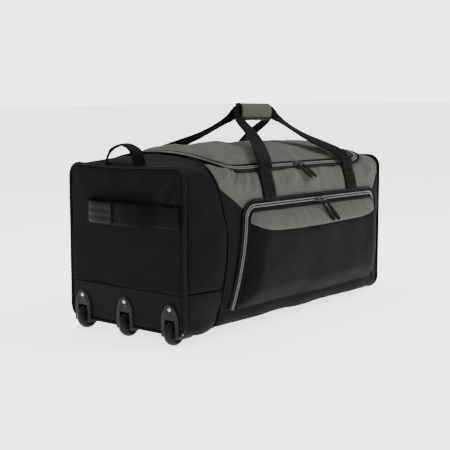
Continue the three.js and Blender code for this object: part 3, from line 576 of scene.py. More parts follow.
PIPING_INSET = 1
HOUSING_HALF = 25
whole_rim = end_edge(PIPING_INSET)
past_housings = WHEELS["rear"] + HOUSING_HALF + PIPING
open_rim = resample(np.vstack([[(-past_housings, PIPING_INSET)], whole_rim[3:-3],
                               [(past_housings, PIPING_INSET)]]), 220)
y, z = open_rim[:, 0], open_rim[:, 1]
near_piping = end_cord("wheel_end_piping_cord", 0, y, z - top_sag(y, z))
fasten(near_piping, "shell", "piping", "wheel_end_piping")
for name, start, end in [("front", -108, -26.5), ("rear", 26.5, 108)]:
    y = np.linspace(start, end, 24)
    cord = end_cord(f"bottom_piping_{name}", 0, y, 0 * y + PIPING_INSET)
    fasten(cord, "shell", "piping")

# ----------------------------------------
# Wheel housings: one moulded shell for each wheel, with a domed plate outside riveted through the
# end panel and two cheeks that hold the axle.


def moulded(name, colour, roughness, grain, relief):
    """A moulded plastic or rubber, with a fine grain and slight wear in its roughness."""
    made, tree, shader = material(name, colour, roughness)
    shader.inputs["Specular IOR Level"].default_value = 0.1
    place = add_node(tree, "ShaderNodeTexCoord").outputs["Object"]
    speckle = add_node(tree, "ShaderNodeTexNoise", None,
                       {"Vector": place, "Scale": 1000 / grain, "Detail": 2.0}).outputs["Fac"]
    bump = add_node(tree, "ShaderNodeBump", None,
                    {"Height": speckle, "Distance": relief / 1000, "Strength": 0.6})
    tree.links.new(bump.outputs["Normal"], shader.inputs["Normal"])
    scuffs = add_node(tree, "ShaderNodeTexNoise", None,
                      {"Vector": place, "Scale": 60.0, "Detail": 5.0}).outputs["Fac"]
    wear = add_node(tree, "ShaderNodeMapRange", None, {
        "Value": scuffs, "From Min": 0.35, "From Max": 0.7,
        "To Min": roughness - 0.05, "To Max": roughness + 0.14})
    tree.links.new(wear.outputs["Result"], shader.inputs["Roughness"])
    return made


# Glass-filled nylon from a spark-eroded mould: satin black with a fine grain. The grain is under
# 0.3 mm; here and on the other mouldings it is drawn at about 1 mm, so that it shows.
housing_plastic = moulded("black glass-filled nylon", "131415", 0.34, 1.2, 0.05)
for name in WHEELS:
    # Each is the CAD solid, with its edges rounded as the mould leaves them.
    mesh = frame["nodes"][f"housing_{name}"].data.copy()
    shape = bmesh.new()
    shape.from_mesh(mesh)
    bmesh.ops.remove_doubles(shape, verts=shape.verts, dist=1e-5)
    bmesh.ops.dissolve_limit(shape, angle_limit=math.radians(2), verts=shape.verts,
                             edges=shape.edges)
    shape.to_mesh(mesh)
    shape.free()
    mesh.materials.clear()
    mesh.materials.append(housing_plastic)
    smooth(mesh)
    piece = bpy.data.objects.new(f"wheel_housing_{name}", mesh)
    bpy.context.scene.collection.objects.link(piece)
    bevel = piece.modifiers.new("rounded edges", "BEVEL")
    bevel.width = 0.0016
    bevel.segments = 3
    bevel.limit_method = "ANGLE"
    bevel.angle_limit = math.radians(40)
    bevel.harden_normals = True
    fasten(piece, "shell", "housing", f"housing_{name}")

# ----------------------------------------
# Wheels: a polyurethane tyre moulded on a nylon hub with six ribs, turning on a plain steel pin.
# A domed steel rivet holds each housing to the board inside the end panel.

# Polyurethane comes out of its mould with a soft sheen and scuffs to matt; nylon stays satin.
tyre_rubber = moulded("black moulded polyurethane", "0f1011", 0.42, 0.9, 0.04)
hub_nylon = moulded("black moulded nylon", "131415", 0.34, 1.0, 0.03)
# Pins and rivets are turned steel with bright nickel, dulled here and there by handling.
steel, tree, shader = material("nickel-plated steel", "8f918e", 0.28)
shader.inputs["Metallic"].default_value = 1.0
place = add_node(tree, "ShaderNodeTexCoord").outputs["Object"]
streaks = add_node(tree, "ShaderNodeTexNoise", None, {"Vector": place, "Scale": 900.0, "Detail": 3.0})
dulled = add_node(tree, "ShaderNodeMapRange", None, {
    "Value": streaks.outputs["Fac"], "To Min": 0.2, "To Max": 0.38})
tree.links.new(dulled.outputs["Result"], shader.inputs["Roughness"])


def revolve(profile, centre, axis, steps):
    """A mesh turned about x or y through centre. The profile's (radius, along) points close."""
    turns = np.linspace(0, 2 * math.pi, steps, endpoint=False)
    profile = np.array(profile, float)
    side, up = (1, 2) if axis == 0 else (2, 0)
    points = np.zeros((steps, len(profile), 3))
    points[..., axis] = profile[None, :, 1]
    points[..., side] = profile[None, :, 0] * np.cos(turns)[:, None]
    points[..., up] = profile[None, :, 0] * np.sin(turns)[:, None]
    points += np.array(centre, float)
    count = len(profile)
    mesh = bpy.data.meshes.new("turned")
    faces = []
    for i in range(steps):
        for j in range(count):
            a, b = i * count + j, i * count + (j + 1) % count
            c, d = ((i + 1) % steps) * count + (j + 1) % count, ((i + 1) % steps) * count + j
            faces.append((a, b, c, d))
    mesh.from_pydata(points.reshape(-1, 3).tolist(), [], faces)
    shape = bmesh.new()
    shape.from_mesh(mesh)
    bmesh.ops.remove_doubles(shape, verts=shape.verts, dist=1e-4)
    if shape.calc_volume(signed=True) < 0:
        bmesh.ops.reverse_faces(shape, faces=shape.faces)
    shape.to_mesh(mesh)
    shape.free()
    smooth(mesh)
    return mesh


WHEEL_RADIUS, WHEEL_WIDTH, HUB_RADIUS, BORE = 28, 22, 16.5, 4.4
edge = WHEEL_WIDTH / 2
tread = [(WHEEL_RADIUS - 7 + 7 * math.cos(a), (edge - 1) * math.sin(a))
         for a in np.linspace(-math.pi / 2, math.pi / 2, 17)]
tyre_profile = [(HUB_RADIUS + 0.4, -edge + 2), *tread, (HUB_RADIUS + 0.4, edge - 2)]
hub_profile = [(BORE, -edge), (7.4, -edge), (8, -edge + 0.6), (8, -6), (14, -6), (14, -8.6), (14.5, -9),
               (HUB_RADIUS, -9), (HUB_RADIUS, 9), (14.5, 9), (14, 8.6), (14, 6), (8, 6),
               (8, edge - 0.6), (7.4, edge), (BORE, edge)]
for name, y in WHEELS.items():
    centre = (AXLE.x, y, AXLE.z)
    tyre = add_piece(f"wheel_tyre_{name}", revolve(tyre_profile, centre, 1, 56), tyre_rubber)
    hub_mesh = revolve(hub_profile, centre, 1, 48)
    shape = bmesh.new()
    shape.from_mesh(hub_mesh)
    for turn in range(6):
        angle = turn * math.pi / 3
        for side in (-1, 1):
            rib = bmesh.ops.create_cube(shape, size=1)["verts"]
            bmesh.ops.scale(shape, vec=(6.6, 2.6, 1.8), verts=rib)
            bmesh.ops.translate(shape, vec=(11, side * 7.2, 0), verts=rib)
            bmesh.ops.rotate(shape, cent=(0, 0, 0), matrix=Matrix.Rotation(angle, 3, "Y"), verts=rib)
            bmesh.ops.translate(shape, vec=centre, verts=rib)
    shape.to_mesh(hub_mesh)
    shape.free()
    hub = add_piece(f"wheel_hub_{name}", hub_mesh, hub_nylon)
    for piece, node, slot in [(tyre, f"tyre_{name}", "tyre"), (hub, f"hub_{name}", "hub")]:
        fasten(piece, f"wheel_{name}", slot, node)
    head = [(5.2 * math.sin(a), -5.6 - 3.0 * math.cos(a)) for a in np.linspace(0, math.pi / 2, 8)]
    rivet_profile = [*head, (2.4, -5.6), (2.4, 5.4), (4.5, 5.4), (4.5, 6.9), (0, 6.9)]
    rivet = add_piece(f"housing_rivet_{name}", revolve(rivet_profile, (0, y, 55), 0, 28), steel)
    fasten(rivet, "shell", "steel", f"rivet_{name}")
refinish([f"axle_{name}" for name in WHEELS], steel)

# ----------------------------------------
# Gusset: the black band of cloth round the body beside the wheel end, with a reinforced lower
# band each side. Its seam with the body bows towards the far end half way up and runs in to the
# zip on top; loaded, its bottom edge hangs in a small belly beside the outer wheels.
SEAM_K = [1.5, 2, 3, 4, 5, 6, 7, 7.7, 8.3, 8.8, 9.3, 9.9, 10.6, 11.1, 12, 13]
SEAM_X = [90, 91, 96, 101, 106, 112, 112, 104, 99, 95, 89, 87, 91, 98, 103, 104]
fine_k = np.linspace(SEAM_K[0], CREST, 400)
rough_x = np.interp(fine_k, SEAM_K, SEAM_X)
soft_x = np.convolve(np.pad(rough_x, 12, "edge"), np.hanning(25) / np.hanning(25).sum(), "valid")


def gusset_seam(k):
    """Where the gusset ends at an outline place, on either side of the bag."""
    return np.interp(np.minimum(k, ROUND - np.asarray(k)), fine_k, soft_x)


SEAM_GAP = 1.2  # each cloth stops this far short of a seam, where its cord lies


def seam_dip(points, depth=2.2, wide=7):
    """A seam draws the cloth in along every edge of a grid of points."""
    return -depth * np.exp(-((to_edge(points) / wide) ** 2))


def gusset_belly(x, k):
    """The loose cloth that hangs at the bottom edge, beside the outer wheels."""
    place = np.minimum(k, ROUND - k)
    return 9 * np.exp(-(((place - 2.7) / 0.75) ** 2)) * np.sin(math.pi * np.clip((x - 8) / 84, 0, 1))


def band(name, k_from, k_to, columns, seed, finishes, node, slot, keep=None):
    """A width of the gusset, between two outline places."""
    s, k = np.meshgrid(np.linspace(0, 1, 24), np.linspace(k_from, k_to, columns), indexing="ij")
    x = 3.2 + s * (gusset_seam(k) - SEAM_GAP - 3.2)
    out = seam_dip(skin(x, k)) + gusset_belly(x, k) + rumple(x, girth(k), 75, 1.0, seed)
    out = creased(out, x, girth(np.minimum(k, ROUND - k)), [
        ((20, 8.2), (80, 7.2), 10, 1.8), ((14, 7.4), (70, 6.7), 9, -1.4),
        ((86, 9.2), (30, 10.4), 11, 2.2), ((60, 10.6), (20, 9.6), 9, -1.6),
        ((30, 5.4), (96, 6.0), 10, 1.4)], girth)
    points = off_skin(x, k, out)
    made = cloth(name, points, np.stack([x, girth(k)], -1) / 1000, finishes,
                 keep(points) if keep else None)
    fasten(made, "shell", slot, node)


def clear_of_wheels(points):
    """Cells above the notches are given a depth that no notch reaches."""
    above = points[..., 2] > NOTCH_HEIGHT
    return notched(points[..., 1], points[..., 0] + 1000 * above, NOTCH_LENGTH)


band("gusset", 5.02, ROUND - 5.02, 230, 21, [black_cloth, lining], "wheel_end_gusset", "black_cloth")
band("wear_band_near_pocket", 2.03, 4.98, 46, 22, [wear_cloth, lining], "wear_band_front",
     "wear_cloth", clear_of_wheels)
band("wear_band_behind", ROUND - 4.98, ROUND - 2.03, 46, 23, [wear_cloth, lining],
     "wear_band_rear", "wear_cloth", clear_of_wheels)


def along_skin(name, x, k, out, section, finish):
    """A cord or a tape laid along a line on the skin, facing outwards."""
    return sweep(name, off_skin(x, k, out), outward(x, k), section, [finish])


k = np.linspace(2.1, ROUND - 2.1, 320)
gusset_cord = along_skin("gusset_piping_cord", gusset_seam(k), k, -0.4, ring(2.0, 8), piping_cloth)
fasten(gusset_cord, "shell", "piping", "gusset_piping")

# ----------------------------------------
# Front and rear walls: black cloth below, a grey yoke above. The line between them drops from the
# gusset seam in a slant to the pocket's top corner, runs level, and climbs again at the far end.
FAR_SEAM, FAR_EDGE = 757.6, 757  # where the lower walls and the yokes stop short of the far end
YOKE_NEAR_K, YOKE_FAR_K = 8.82, 8.77  # where the yoke's line meets the two end seams
yoke_line = np.array([(95, YOKE_NEAR_K), (112, 8.56), (132, 8.31), (155, 8.01), (171, 7.78),
                      (190, 7.66), (230, 7.62), (400, 7.62), (640, 7.62), (676, 7.68), (701, 7.92),
                      (727, 8.27), (FAR_EDGE, YOKE_FAR_K)])
# The same 600-denier cloth as the black, piece-dyed a warm grey, with its threads drawn alike.
grey_cloth = woven("warm grey 600D polyester oxford", "474642", 1.6, 0.22, 0.8, 0.04)


def stretch(line):
    """A line of (x, k) points in millimetres both ways, so that it can be spaced evenly."""
    line = np.asarray(line, float)
    return np.stack([line[:, 0], girth(line[:, 1])], -1)


def shrink(line):
    """A stretched line as (x, k) points again."""
    return np.stack([line[..., 0], np.interp(line[..., 1], girth_mm, girth_k)], -1)


def wall(name, edges, rows, columns, out, finishes, rear=False):
    """A cloth wall that fills four edges drawn in (x, k) on the front, or mirrored to the rear."""
    xg = patch(*[stretch(edge) for edge in edges], rows, columns)
    x, g = xg[..., 0], xg[..., 1]
    k = shrink(xg)[..., 1]
    lift = out(x, g, k) + seam_dip(skin(x, k))
    if rear:
        x, g, k, lift = (a[::-1] for a in (x, g, ROUND - k, lift))
    return cloth(name, off_skin(x, k, lift), np.stack([x, girth(k)], -1) / 1000, finishes)


def seam_column(k_from, k_to):
    """The edge of a wall along the gusset's seam."""
    k = np.linspace(k_from, k_to, 30)
    return np.stack([gusset_seam(k) + SEAM_GAP, k], -1)


BASE_K = 2.03
lower_edges = ([(gusset_seam(BASE_K) + SEAM_GAP, BASE_K), (FAR_SEAM, BASE_K)], yoke_line,
               seam_column(BASE_K, YOKE_NEAR_K), [(FAR_SEAM, BASE_K), (FAR_EDGE, YOKE_FAR_K)])


def wall_relief(seed):
    """A row of stitching runs along a wall above the base, and a crease climbs from each corner."""
    def relief(x, g, k):
        out = rumple(x, g, 130, 1.4, seed) + rumple(x, g, 45, 0.35, seed + 1)
        hem = girth(3.75)
        out = out - 1.6 * np.exp(-(((g - hem) / 3) ** 2))
        return creased(out, x, g, [((110, hem + 20), (200, hem + 70), 14, 2),
                                   ((745, hem + 60), (690, hem + 150), 14, 2.2)])
    return relief


for name, node, rear in [("front_wall", "front_panel", False), ("rear_wall", "rear_panel", True)]:
    piece = wall(name, lower_edges, 170, 76, wall_relief(31 + rear), [black_cloth, lining], rear)
    fasten(piece, "shell", "black_cloth", node)

# ----------------------------------------
# Main zip: a coil zip on a black tape that runs round three sides of the lid. One row of teeth is
# sewn to the body and one to the lid, each between its tape and a fine cord.
LID_EDGE, LID_FAR, LID_CORNER, ZIP_RISE = 110, 48, 80, 3
K_MM = 37  # millimetres of cloth to one step of k on top
ZIP_PITCH = 4.9  # from one row of teeth to the other
LID_HINGE_K = ROUND - SHOULDER - 0.12


def zip_line(inset, count=400):
    """(x, k) points along the zip, from the rear of the wheel end round the front to the far end."""
    left, right = LID_EDGE + inset, LENGTH - LID_FAR - inset
    front, rear = ZIP_RISE + inset, (LID_HINGE_K - SHOULDER) * K_MM
    radius = LID_CORNER - inset
    turns = np.linspace(0, math.pi / 2, 24)
    across, down = radius * np.sin(turns), radius * np.cos(turns)
    near = np.stack([left + radius - down, front + radius - across], -1)
    far = np.stack([right - radius + across, front + radius - down], -1)
    path = resample(np.vstack([[(left, rear)], near, far, [(right, rear)]]), count)
    return np.stack([path[:, 0], SHOULDER + path[:, 1] / K_MM], -1)


body_zip = zip_line(-1)
tip = int(np.argmin(np.abs(body_zip[:200, 1] - 11.1)))
far_turn = 400 - int(np.argmin(np.abs(body_zip[::-1][:200, 1] - 10.5)))
YOKE_INSET, REAR_TOP_K = -6, 10.02
yoke_top = zip_line(YOKE_INSET)[tip:far_turn]
yoke_low = np.vstack([seam_column(11.1, YOKE_NEAR_K)[1:], yoke_line[1:]])
yoke_edges = (yoke_low, np.vstack([yoke_top, [(FAR_EDGE, 10.9)]]),
              [yoke_low[0], yoke_top[0]], [(FAR_EDGE, YOKE_FAR_K), (FAR_EDGE, 10.9)])


ROOTS = 262, 600  # the middles of the straps' sewn ends


def yoke_relief(seed):
    """Creases fan out of the zip's corners and hang below the straps."""
    def relief(x, g, k):
        out = rumple(x, g, 90, 1.2, seed) + rumple(x, g, 34, 0.4, seed + 1)
        out = creased(out, x, g, [
            ((150, 10.4), (118, 9.0), 6, 3.4), ((176, 10.2), (140, 8.7), 6, -3.0),
            ((168, 10.2), (131, 8.9), 4, 2.2), ((205, 10.0), (178, 8.4), 7, 2.6),
            ((222, 9.9), (206, 8.6), 5, -2.0), ((290, 9.8), (306, 8.3), 7, 2.2),
            ((330, 9.8), (345, 8.7), 6, -1.8), ((368, 9.9), (372, 8.6), 6, 1.8),
            ((420, 9.9), (410, 8.4), 10, -1.8), ((480, 9.9), (490, 8.5), 8, 1.8),
            ((520, 9.9), (540, 8.3), 9, 2.0), ((640, 10.0), (662, 8.4), 7, 2.6),
            ((668, 10.1), (698, 8.8), 6, -2.2), ((690, 10.0), (725, 8.8), 7, 2.4),
        ], girth)
        room = 0.8 + 6 * np.clip((k - 8.4) / 0.8, 0, 1)  # below k 8.4 the pocket's zip lies on it
        out = np.minimum(out * 1.5, room)
        for root in ROOTS:  # the straps' sewn ends hold the cloth flat
            out = out * (1 - np.exp(-(((x - root) / 30) ** 4)))
        return out
    return relief


piece = wall("front_yoke_panel", yoke_edges, 190, 34, yoke_relief(41), [grey_cloth, lining])
fasten(piece, "shell", "grey_cloth", "front_yoke")
rear_low = np.vstack([seam_column(REAR_TOP_K, YOKE_NEAR_K)[1:], yoke_line[1:]])
rear_top = [(gusset_seam(REAR_TOP_K) + 4, REAR_TOP_K), (FAR_EDGE, REAR_TOP_K)]
rear_edges = (rear_low, rear_top, [rear_low[0], rear_top[0]], [(FAR_EDGE, YOKE_FAR_K), rear_top[1]])
piece = wall("rear_yoke_panel", rear_edges, 170, 26, yoke_relief(43), [grey_cloth, lining], rear=True)
fasten(piece, "shell", "grey_cloth", "rear_yoke")

# The far end of the top, between the zip and the end seam, is grey as well.
far_leg = zip_line(YOKE_INSET)[far_turn - 1:]
far_edges = ([far_leg[0], (FAR_EDGE, 10.92)], [far_leg[-1], (FAR_EDGE, far_leg[-1][1])],
             far_leg, [(FAR_EDGE, 10.92), (FAR_EDGE, far_leg[-1][1])])
xg = patch(*[stretch(edge) for edge in far_edges], 22, 90)
x, k = xg[..., 0], shrink(xg)[..., 1]
out = seam_dip(skin(x, k)) + rumple(x, xg[..., 1], 70, 1.2, 47)
far_top = cloth("far_top_cloth", off_skin(x, k, out), xg / 1000, [grey_cloth, lining])
fasten(far_top, "shell", "grey_cloth", "far_top_panel")

# Nylon coil: a silver-grey monofilament wound and sewn along the edge of each tape. It gives a
# broken line of small highlights.
coil_nylon, tree, shader = material("silver-grey nylon zip coil", "62645f", 0.45)
shader.inputs["Coat Weight"].default_value = 0.15
# The tape is a dense, flat weave, dull black. Its threads are drawn at 1.2 mm so that they show.
zip_tape = woven("black woven polyester zip tape", "060607", 1.2, 0.12, 0.75, 0.02)


# Parts in a row: a path, whose points know which way is up, is spaced out evenly, and one part is
# set on each point, turned along the path and upwards.
row_tree = bpy.data.node_groups.new("parts in a row", "GeometryNodeTree")
_, SPACING_ID, PART_ID, FINISH_ID = [
    row_tree.interface.new_socket(name, in_out="INPUT", socket_type=f"NodeSocket{kind}").identifier
    for name, kind in [("Path", "Geometry"), ("Spacing", "Float"), ("Part", "Object"),
                       ("Finish", "Material")]]
row_tree.interface.new_socket("Row", in_out="OUTPUT", socket_type="NodeSocketGeometry")
given = add_node(row_tree, "NodeGroupInput").outputs
path_curve = add_node(row_tree, "GeometryNodeMeshToCurve", None, {"Mesh": given["Path"]})
spaced = add_node(row_tree, "GeometryNodeResampleCurve", {"mode": "LENGTH"},
                  {"Curve": path_curve.outputs["Curve"], "Length": given["Spacing"]})
upward = add_node(row_tree, "GeometryNodeInputNamedAttribute", {"data_type": "FLOAT_VECTOR"},
                  {"Name": "upward"}).outputs["Attribute"]
tangent = add_node(row_tree, "GeometryNodeInputTangent").outputs["Tangent"]
upright = add_node(row_tree, "FunctionNodeAlignRotationToVector", {"axis": "Z"},
                   {"Vector": upward}).outputs["Rotation"]
turned = add_node(row_tree, "FunctionNodeAlignRotationToVector", {"axis": "X", "pivot_axis": "Z"},
                  {"Rotation": upright, "Vector": tangent}).outputs["Rotation"]
part = add_node(row_tree, "GeometryNodeObjectInfo", None, {"Object": given["Part"]})
placed = add_node(row_tree, "GeometryNodeInstanceOnPoints", None, {
    "Points": spaced.outputs["Curve"], "Instance": part.outputs["Geometry"], "Rotation": turned})
real = add_node(row_tree, "GeometryNodeRealizeInstances", None,
                {"Geometry": placed.outputs["Instances"]})
finished = add_node(row_tree, "GeometryNodeSetMaterial", None,
                    {"Geometry": real.outputs["Geometry"], "Material": given["Finish"]})
add_node(row_tree, "NodeGroupOutput", None, {"Row": finished.outputs["Geometry"]})


def row(name, centres, ups, part, spacing, finish):
    """One mesh of parts set every `spacing` mm along a path on the bag's axes."""
    centres, ups = np.asarray(centres, float), np.asarray(ups, float)
    path = bpy.data.meshes.new(name)
    path.from_pydata(centres.tolist(), [(i, i + 1) for i in range(len(centres) - 1)], [])
    path.transform(bag)
    upward = path.attributes.new("upward", "FLOAT_VECTOR", "POINT")
    upward.data.foreach_set("vector", (ups @ np.array(lean).T).astype(np.float32).ravel())
    holder = bpy.data.objects.new(name, path)
    bpy.context.scene.collection.objects.link(holder)
    modifier = holder.modifiers.new("row", "NODES")
    modifier.node_group = row_tree
    modifier[SPACING_ID] = spacing / 1000
    modifier[PART_ID] = part
    modifier[FINISH_ID] = finish
    depsgraph = bpy.context.evaluated_depsgraph_get()
    mesh = bpy.data.meshes.new_from_object(holder.evaluated_get(depsgraph))
    bpy.data.objects.remove(holder)
    mesh.name = name
    smooth(mesh)
    piece = bpy.data.objects.new(name, mesh)
    bpy.context.scene.collection.objects.link(piece)
    return piece


def small_part(name, size, bevel):
    """A rounded bar in metres, kept out of the scene, for a row to repeat."""
    shape = bmesh.new()
    bmesh.ops.create_cube(shape, size=1)
    bmesh.ops.scale(shape, vec=Vector(size) / 1000, verts=shape.verts)
    bmesh.ops.bevel(shape, geom=shape.edges[:], offset=bevel / 1000, segments=1, affect="EDGES")
    mesh = bpy.data.meshes.new(name)
    shape.to_mesh(mesh)
    shape.free()
    return bpy.data.objects.new(name, mesh)


# A real coil of this size has a loop every 2 mm or less; each is drawn as one bar every 2.6 mm.
TOOTH_PITCH = 2.6
tooth = small_part("zip_tooth", (1.7, 3.0, 2.0), 0.5)


def tape(wide):
    """A flat strip's section, 0.9 mm thick, with its edges rounded."""
    half, flat = wide / 2, 0.9 / 2
    return [(-half, -flat), (half, -flat), (half + 0.3, 0), (half, flat), (-half, flat),
            (-half - 0.3, 0)]


def zip_half(name, lines, outs, wide, cord, body, node):
    """The teeth, the tape and the cord of one half of a zip, each along its own (x, k) line."""
    x, k = lines[0].T
    teeth = row(f"{name}_teeth", off_skin(x, k, outs[0]), outward(x, k), tooth, TOOTH_PITCH, coil_nylon)
    strip = along_skin(f"{name}_tape", *lines[1].T, outs[1], tape(wide), zip_tape)
    cord = along_skin(f"{name}_cord", *lines[2].T, outs[2], ring(cord, 8), piping_cloth)
    for piece, slot in [(teeth, "zip_tape"), (strip, "zip_tape"), (cord, "piping")]:
        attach(piece, body)
    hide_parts(node)


MAIN_OUT = 0.2
for name, inset, side, lift, body in [("body", -0.7, -1, 1.3, "shell"),
                                      ("lid", ZIP_PITCH + 0.5, 1, -0.6, "lid")]:
    zip_half(f"main_zip_{name}", [zip_line(inset + side * away) for away in (0, 3.4, 8.2)],
             (MAIN_OUT + 0.9, MAIN_OUT - 0.6, MAIN_OUT + lift), 12, 2.5, body, f"main_zip_{name}_row")


def lid_grid(rows, columns):
    """Fills the zip's line: its corners are taken a quarter of the way round each turn."""
    inset = ZIP_PITCH + 7
    line = zip_line(inset, 500)
    corner_near = int(np.argmin(np.abs(line[:250, 0] - (LID_EDGE + inset + LID_CORNER * 0.25))))
    corner_far = 500 - int(np.argmin(np.abs(
        line[::-1][:250, 0] - (LENGTH - LID_FAR - inset - LID_CORNER * 0.25))))
    edges = (line[corner_near:corner_far], [line[0], line[-1]], line[:corner_near + 1][::-1],
             line[corner_far - 1:])
    return patch(*[stretch(edge) for edge in edges], rows, columns)


xg = lid_grid(150, 84)
x, g, k = xg[..., 0], xg[..., 1], shrink(xg)[..., 1]
out = seam_dip(skin(x, k), 2.4, 8) + rumple(x, g, 150, 3.0, 51) + rumple(x, g, 48, 0.8, 52)
out = creased(out, x, g, [
    ((140, 11.0), (215, 12.6), 10, 3.4), ((165, 10.5), (250, 11.9), 9, -2.6),
    ((190, 10.4), (262, 11.3), 7, 2.0), ((405, 10.4), (420, 11.5), 9, 1.8),
    ((128, 12.2), (190, 13.4), 12, 2.2), ((700, 11.2), (640, 12.4), 13, 2.6),
    ((690, 12.4), (620, 13.2), 13, -2.0), ((330, 10.4), (352, 11.8), 12, 1.8),
    ((470, 10.4), (455, 11.6), 13, -1.6), ((560, 10.4), (585, 11.9), 12, 2.0),
    ((210, 14.6), (300, 13.6), 15, 2.0), ((520, 14.8), (440, 13.7), 15, 1.8),
], girth, 1.5)
lid = cloth("lid_cloth", off_skin(x, k, out), xg / 1000, [grey_cloth, lining])
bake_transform(lid)
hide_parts("lid_panel")
x = np.linspace(LID_EDGE - 4, LENGTH - LID_FAR + 4, 160)
k = np.full(len(x), LID_HINGE_K + 0.1)
hinge_cord = along_skin("lid_hinge_cord", x, k, 0.2, ring(2.2, 8), piping_cloth)
fasten(hinge_cord, "shell", "piping")

# ----------------------------------------
# Far end: a plain padded panel of black cloth, sewn to the walls and the top by a corded seam all
# round. Each corner draws the cloth into one soft crease.
rim = end_edge(EDGE_INSET)
quarter = len(rim) // 4
turns = [quarter // 2 + i * quarter for i in range(4)]
left = rim[turns[0]:turns[1] + 1]
top = rim[turns[1]:turns[2] + 1]
right_side = rim[turns[2]:turns[3] + 1][::-1]
bottom = np.vstack([rim[:turns[0] + 1][::-1], rim[turns[3]:][::-1]])
yz = patch(bottom, top, left, right_side, 80, 80)
y, z = yz[..., 0], yz[..., 1]
out = end_face(y, z, 2)
out = creased(out, y, z, [((-160, 335), (-95, 250), 12, 2.2), ((160, 335), (100, 255), 12, 2.0),
                          ((-165, 40), (-100, 110), 13, 2.0), ((160, 40), (110, 120), 12, 1.8)])
far_panel = cloth("far_end_cloth", np.stack([LENGTH - 0.8 + out, y, z], -1), yz / 1000,
                  [black_cloth, lining])
fasten(far_panel, "shell", "black_cloth", "far_end_panel")
edge = resample(np.vstack([whole_rim, whole_rim[:1]]), 241)[:-1]
far_piping = end_cord("far_end_piping_cord", LENGTH, edge[:, 0], edge[:, 1], closed=True)
fasten(far_piping, "shell", "piping", "far_end_piping")

# ----------------------------------------
# Front pocket: a black panel that stands off the body with a grey top, gathered a little along its
# zip. The zip runs up one side, along the top and down the other; the pocket folds down from its
# bottom edge.
POCKET_LOW, POCKET_CORNER, POCKET_START, POCKET_SIDE = 40, 34, 134, 166
POCKET_FAR_START, POCKET_FAR_SIDE, POCKET_DEPTH, POCKET_SLOPE = 24, 55, 22, 45
POCKET_ZIP_PITCH = 6


def pocket_edge(inset, count=420):
    """(x, z) points round the pocket, from the foot of the wheel-end side to that of the far side."""
    shoulder = POCKET_TOP - POCKET_CORNER
    waist = POCKET_LOW + 0.38 * (shoulder - POCKET_LOW)
    far, foot = LENGTH - POCKET_FAR_SIDE, LENGTH - POCKET_FAR_START
    t = np.linspace(0, 1, 40)[:, None]
    turns = np.linspace(0, math.pi / 2, 24)

    def bow(a, b, c):
        a, b, c = np.array([a, b, c], float)
        return a * (1 - t) ** 2 + 2 * b * t * (1 - t) + c * t ** 2

    near = np.stack([POCKET_SIDE + POCKET_CORNER * (1 - np.cos(turns)),
                     shoulder + POCKET_CORNER * np.sin(turns)], -1)
    beyond = np.stack([far - POCKET_CORNER * (1 - np.sin(turns)),
                       shoulder + POCKET_CORNER * np.cos(turns)], -1)
    path = np.vstack([
        bow((POCKET_START, POCKET_LOW), (POCKET_SIDE - 14, waist), (POCKET_SIDE, shoulder))[:-1], near,
        beyond, bow((far, shoulder), (far + 9, waist), (foot, POCKET_LOW))[1:]])
    path = resample(path, count)
    ahead = np.gradient(path, axis=0)
    ahead = ahead / np.linalg.norm(ahead, axis=1, keepdims=True)
    return path + np.stack([ahead[:, 1], -ahead[:, 0]], -1) * inset


# Heights on the front and the outline places that they belong to.
front_k = np.linspace(2.5, SHOULDER, 751)
front_z = spline(slack_outline, front_k)[:, 1]


def place_at(z):
    """The outline place at a height on the front."""
    return np.interp(z, front_z, front_k)


for name, inset, side, out, lift, body in [
    ("body", 0.2, -1, 3.2, 0, "shell"), ("flap", POCKET_ZIP_PITCH - 0.6, 1, 3.6, 0.4, "pocket_flap"),
]:
    ways = [pocket_edge(inset + side * away) for away in (0, 4.2, 9.6)]
    sunk = 2.4 * np.clip((ways[0][:, 0] - 690) / 15, 0, 1)  # the far leg lies behind the full pocket
    zip_half(f"pocket_zip_{name}", [np.stack([way[:, 0], place_at(way[:, 1])], -1) for way in ways],
             (out + 0.9 - sunk, out - 0.6, out + lift), 13.5, 2.1, body, f"pocket_zip_{name}_row")

# The grey top's lower seam: it hangs in a shallow bow between the two sides of the zip.
crescent_line = np.array([(173, 238), (182, 224), (203, 213), (228, 206.5), (265, 203.5),
                          (342, 201.5), (423, 201.5), (509, 203), (601, 205), (639, 209),
                          (668, 217), (690, 230), (700, 238)])
PANEL_INSET = POCKET_ZIP_PITCH + 8.5
inner_edge = pocket_edge(PANEL_INSET, 500)
near_tip = int(np.argmin(np.abs(inner_edge[:200, 1] - 236)))
far_tip = 500 - int(np.argmin(np.abs(inner_edge[::-1][:200, 1] - 236)))
crescent_line[0], crescent_line[-1] = inner_edge[near_tip], inner_edge[far_tip - 1]
crescent_line = resample(crescent_line, 200)
crescent_line[1:-1] = (crescent_line[:-2] + 2 * crescent_line[1:-1] + crescent_line[2:]) / 4


def pocket_face(x, z):
    """How far the pocket stands off the body: it slopes up from its edge and is fuller below."""
    sides = [np.interp(z, inner_edge[:200, 1], inner_edge[:200, 0]),
             np.interp(z, inner_edge[::-1][:200, 1], inner_edge[::-1][:200, 0])]
    top = np.interp(x, inner_edge[60:-60, 0], inner_edge[60:-60, 1])
    spans = np.stack([x - sides[0], sides[1] - x, z - POCKET_LOW, top - z])
    soft = 9  # mm over which one slope runs into the next
    margin = np.maximum(-soft * np.log(np.sum(np.exp(-spans / soft), 0)), 0)
    out = 2 + 2.6 + POCKET_DEPTH * ease(margin / POCKET_SLOPE)
    return out + 1.5 * ease(margin / 120) + rumple(x, z, 140, 1.5, 61) + rumple(x, z, 50, 0.4, 62)


